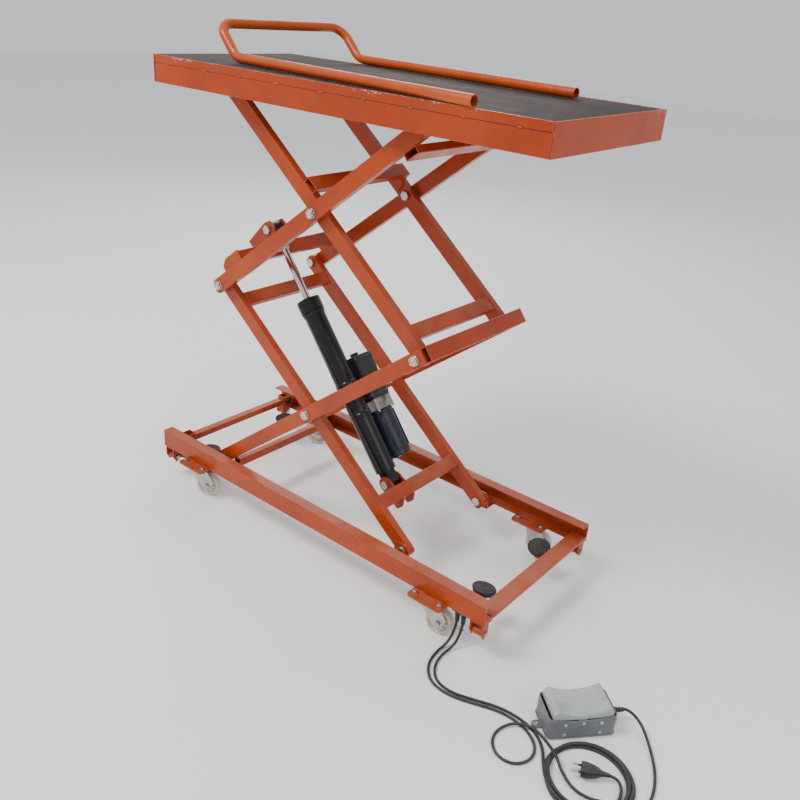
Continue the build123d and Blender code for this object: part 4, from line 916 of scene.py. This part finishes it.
def pack_details():
    """Motor end bell, studs and band, block plugs and valve, tank band and filler cap."""
    pile = Pile()
    ring_on(pile, PACK_LOW, 54, [(-3.2, 12), (-3.2, 17), (-2.2, 18.4), (0, 19)])
    ring_on(pile, PACK_LOW, 74, [(0, 35.9), (0.4, 36.9), (2.2, 36.9), (2.6, 35.9)])
    ring_on(pile, PACK_LOW, 184, [(0, 35.9), (0.6, 37.4), (11.5, 37.4), (12.2, 35.9)])
    for k in range(4):
        a = tau * (k + 0.5) / 4
        start = ram_at(74, 37.4 * cos(a), 37.4 * sin(a), PACK_LOW)
        pile.put(lathe([(0, 2.2), (112, 2.2)], start, RAM_AIM, 10))
    pile.make("motor_bands", MOTOR, "cylinder")
    pile = Pile()
    end_nut, block_nut = ((-4, 3.8), (-3.4, 4.4), (0, 4.4)), ((-4.5, 3.6), (-4, 4.2), (0.4, 4.2))
    for k in range(4):
        a = tau * (k + 0.5) / 4
        pile.put(lathe(end_nut, ram_at(56, 26 * cos(a), 26 * sin(a), PACK_LOW), RAM_AIM, 6))
        side, up = 30.5 * (1 if k in (0, 3) else -1), 30.5 * (1 if k < 2 else -1)
        pile.put(lathe(block_nut, ram_at(196.5, side, up, PACK_LOW), RAM_AIM, 6))
    for side, along, radius in ((8, 12, 7.5), (-12, 22, 6.5), (18, 24, 5.0)):
        plug = ((0, radius), (4.5, radius), (5.2, radius - 0.8), (5.2, radius * 0.45), (3.4, radius * 0.42))
        pile.put(lathe(plug, ram_at(197 + along, side, 34, PACK_LOW), RAM_UP, 6))
    valve = ((0, 8.5), (9, 8.5), (10, 7.6), (10, 6.2), (24, 6.2), (25, 5.4), (25, 3.4), (31, 3.4),
             (31.6, 2.8))
    pile.put(lathe(valve, ram_at(212, 34, 6, PACK_LOW), RAM_SIDE, 6))
    pile.make("pump_fittings", ZINC, "cylinder")
    pile = Pile()
    ring_on(pile, PACK_LOW, 364, [(0, 11.5), (1.0, 13.0), (9, 13.0), (10, 12.2), (10.6, 9.5), (10.8, 2)], 12)
    for along in (240, 352):
        pile.put(band_round(PACK_LOW, along, 36.4, 11.0))
    pile.make("tank_cap_and_ribs", BLACK_PLASTIC, "cylinder")


def band_round(start, along, half, corner):
    """A thin strap round the square tank."""
    ring = []
    for k in range(4):
        for step in range(5):
            a = tau * k / 4 + (pi / 2) * step / 4
            cx = (half - corner) * (1 if k in (0, 3) else -1)
            cy = (half - corner) * (1 if k in (0, 1) else -1)
            ring.append((cx + corner * cos(a), cy + corner * sin(a)))
    points = []
    rows = ((-5, 0.0), (-4.4, 0.9), (4.4, 0.9), (5, 0.0))
    for lift, grow in rows:
        scale = 1 + grow / half
        for x, y in ring:
            points.append(ram_at(along + lift, x * scale, y * scale, start))
    return points, tube_faces(len(rows), len(ring))


# ---- foot switch and plug -----------------------------------------------------------------
def pedal_details():
    """Screws in the long sides, the pivot's ends, the foot's rim and the lead's relief."""
    across = (pedal_point(0, 1, 0) - pedal_point(0, 0, 0)).normalized()
    ahead = (pedal_point(1, 0, 0) - pedal_point(0, 0, 0)).normalized()
    screw = ((0, 4.4), (1.2, 4.4), (1.9, 3.7), (2.1, 2.2), (1.3, 1.9), (1.2, 0.2))
    pivot_end = ((0, 4.6), (1.0, 4.6), (1.8, 3.6), (2.1, 1.5))
    floor_screw = ((0, 5.6), (1.4, 5.2), (2.2, 3.4), (1.4, 3.0), (1.4, 0.3))
    pile = Pile()
    for side in (-1, 1):
        for along in (-42, 42):
            for z in (12, 40):
                pile.put(lathe(screw, pedal_point(along, side * 44.6, z) * MM, across * side, 20))
        pile.put(lathe(pivot_end, pedal_point(0, side * 45, 42) * MM, across * side, 24))
    for end in (-1, 1):
        pile.put(lathe(floor_screw, pedal_point(end * 91, 0, 5) * MM, (0, 0, 1), 24))
    pile.make("pedal_screws", ZINC, "base")
    rim = Pile()
    ring = []
    for cx, cy, start in ((68, 33, 0), (-68, 33, 90), (-68, -33, 180), (68, -33, 270)):
        for step in range(7):
            a = radians(start + 90 * step / 6)
            ring.append(pedal_point(cx + 12.4 * cos(a), cy + 12.4 * sin(a), 3.2) * MM)
    rim.put(sweep(ring + [ring[0]], 1.7 * MM, 8))
    rim.make("pedal_foot_rim", PEDAL_DARK, "base")
    relief = Pile()
    profile = [(0, 7.4), (2, 7.4), (3, 6.5), (6, 6.3), (7, 5.5), (9, 5.4), (10, 6.1), (13, 5.8), (14, 5.0),
               (16, 4.9), (17, 5.5), (20, 5.2), (21, 4.5), (24, 4.3)]
    relief.put(lathe(profile, pedal_point(93, 0, 28) * MM, ahead, 28))
    relief.make("pedal_lead_relief", BLACK_PLASTIC, "base")


def plug_details():
    """Plug body with a ribbed grip and a tapered relief, and its two pins."""
    aim = Vector((-0.9, -0.436, 0)).normalized()
    end = Vector((1012, -362, 17.5))
    side = Vector((aim.y, -aim.x, 0))
    points = []
    sections = [(-9, 4.3, 4.3), (-6, 5.0, 5.0), (-5.6, 4.5, 4.5), (-2.6, 5.4, 5.4), (-2.2, 4.8, 4.8),
                (1.0, 5.9, 5.9), (1.4, 5.2, 5.2), (5, 6.4, 6.4), (9.5, 7.4, 7.2), (14, 10.0, 9.6),
                (22, 13.2, 11.2), (30, 15.2, 12.2), (36, 16.2, 12.8), (38.5, 17.0, 13.0), (46, 17.0, 13.0),
                (50.2, 16.6, 12.7), (51, 15.6, 11.8)]
    turns = 40
    for along, wide, tall in sections:
        for k in range(turns):
            a = tau * k / turns
            square = 1.0 if along < 12 else 0.72
            x = wide * abs(cos(a)) ** square * (1 if cos(a) >= 0 else -1)
            y = tall * abs(sin(a)) ** square * (1 if sin(a) >= 0 else -1)
            points.append((end + aim * along + side * x + Vector((0, 0, 1)) * y) * MM)
    faces = tube_faces(len(sections), turns)
    body = new_mesh("plug_body", points, faces, BLACK_PLASTIC, "base")
    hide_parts("mains_plug")
    pins = Pile()
    for k in (-1, 1):
        root = (end + aim * 50 + side * 9.5 * k) * MM
        pins.put(lathe(((0, 2.4), (18.6, 2.4), (19.6, 1.9), (20, 0.9)), root, aim, 20))
    metal_pins = pins.make("plug_pins", ZINC, "base")
    return body, metal_pins


def cable_tie():
    """A black tie that holds the two leads together on their way to the floor."""
    a, b = MAINS_RUN[1], PEDAL_RUN[1]
    mid = (Vector(a) + Vector(b)) / 2 * MM
    half = (Vector(a) - Vector(b)).length / 2
    grow = 4.3
    loop = []
    for k in range(33):
        t = tau * k / 32
        x = half * (1 if cos(t) > 0 else -1) + grow * cos(t)
        loop.append(mid + Vector((x * MM, grow * sin(t) * MM, 0)))
    pile = Pile()
    pile.put(sweep(loop, 0.9 * MM, 6))
    pile.make("cable_tie", BLACK_PLASTIC, "base")


def socket_caps():
    """Knurled black caps on the clamp screws of the handle sockets."""
    for side, word in ((-1, "near"), (1, "far")):
        profile = [(0, 9.2), (0, 9.6), (5.0, 9.6), (5.8, 8.8), (6.0, 5.5), (5.6, 2.0)]
        pile = Pile()
        pile.put(lathe(profile, mm(-538.0, side * 206.5, 143), (1, 0, 0), 12))
        pile.make("socket_cap_" + word, BLACK_PLASTIC, "base", smooth=False)


def platform_mat():
    """The rubber mat: a thin closed sheet with shallow waves and a few wrinkles at its far left."""
    low, high = (Vector(corner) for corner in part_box("rubber_mat"))
    across, deep = 150, 62
    points, faces = [], []
    for j in range(deep + 1):
        for i in range(across + 1):
            x = low.x + (high.x - low.x) * i / across
            y = low.y + (high.y - low.y) * j / deep
            wave = (noise.noise(Vector((x * 3.1, y * 4.3, 0.4))) * 0.45
                    + noise.noise(Vector((x * 11, y * 15, 2.0))) * 0.18)
            corner = max(0.0, 1 - hypot(x - (low.x + 0.16), y - (high.y - 0.10)) / 0.22)
            wrinkle = corner * abs(sin(x * 46 + y * 31 + 2.2 * noise.noise(Vector((x * 9, y * 9, 5))))) * 1.1
            drop = (0.9 + 0.6 * wave - wrinkle) * MM
            points.append((x, y, high.z - max(0.05 * MM, drop)))
    top = len(points)
    points += [(x, y, low.z) for x, y, _ in points]
    row = across + 1
    for j in range(deep):
        for i in range(across):
            a = j * row + i
            faces.append((a, a + 1, a + row + 1, a + row))
            faces.append((top + a, top + a + row, top + a + row + 1, top + a + 1))
    for i in range(across):
        faces.append((i, top + i, top + i + 1, i + 1))
        a = deep * row + i
        faces.append((a, a + 1, top + a + 1, top + a))
    for j in range(deep):
        a = j * row
        faces.append((a, a + row, top + a + row, top + a))
        a = j * row + across
        faces.append((a, top + a, top + a + row, a + row))
    mat = new_mesh("platform_mat", points, faces, MAT_RUBBER, "platform")
    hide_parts("rubber_mat")


scissor_welds()
base_welds()
platform_welds()
washers()
for corner_name in CORNERS:
    caster_wheel(corner_name)
    swivel_race(corner_name)
    levelling_foot(corner_name)
ram_details()
pack_details()
pedal_details()
plug_pieces = plug_details()
cable_tie()
socket_caps()
platform_mat()
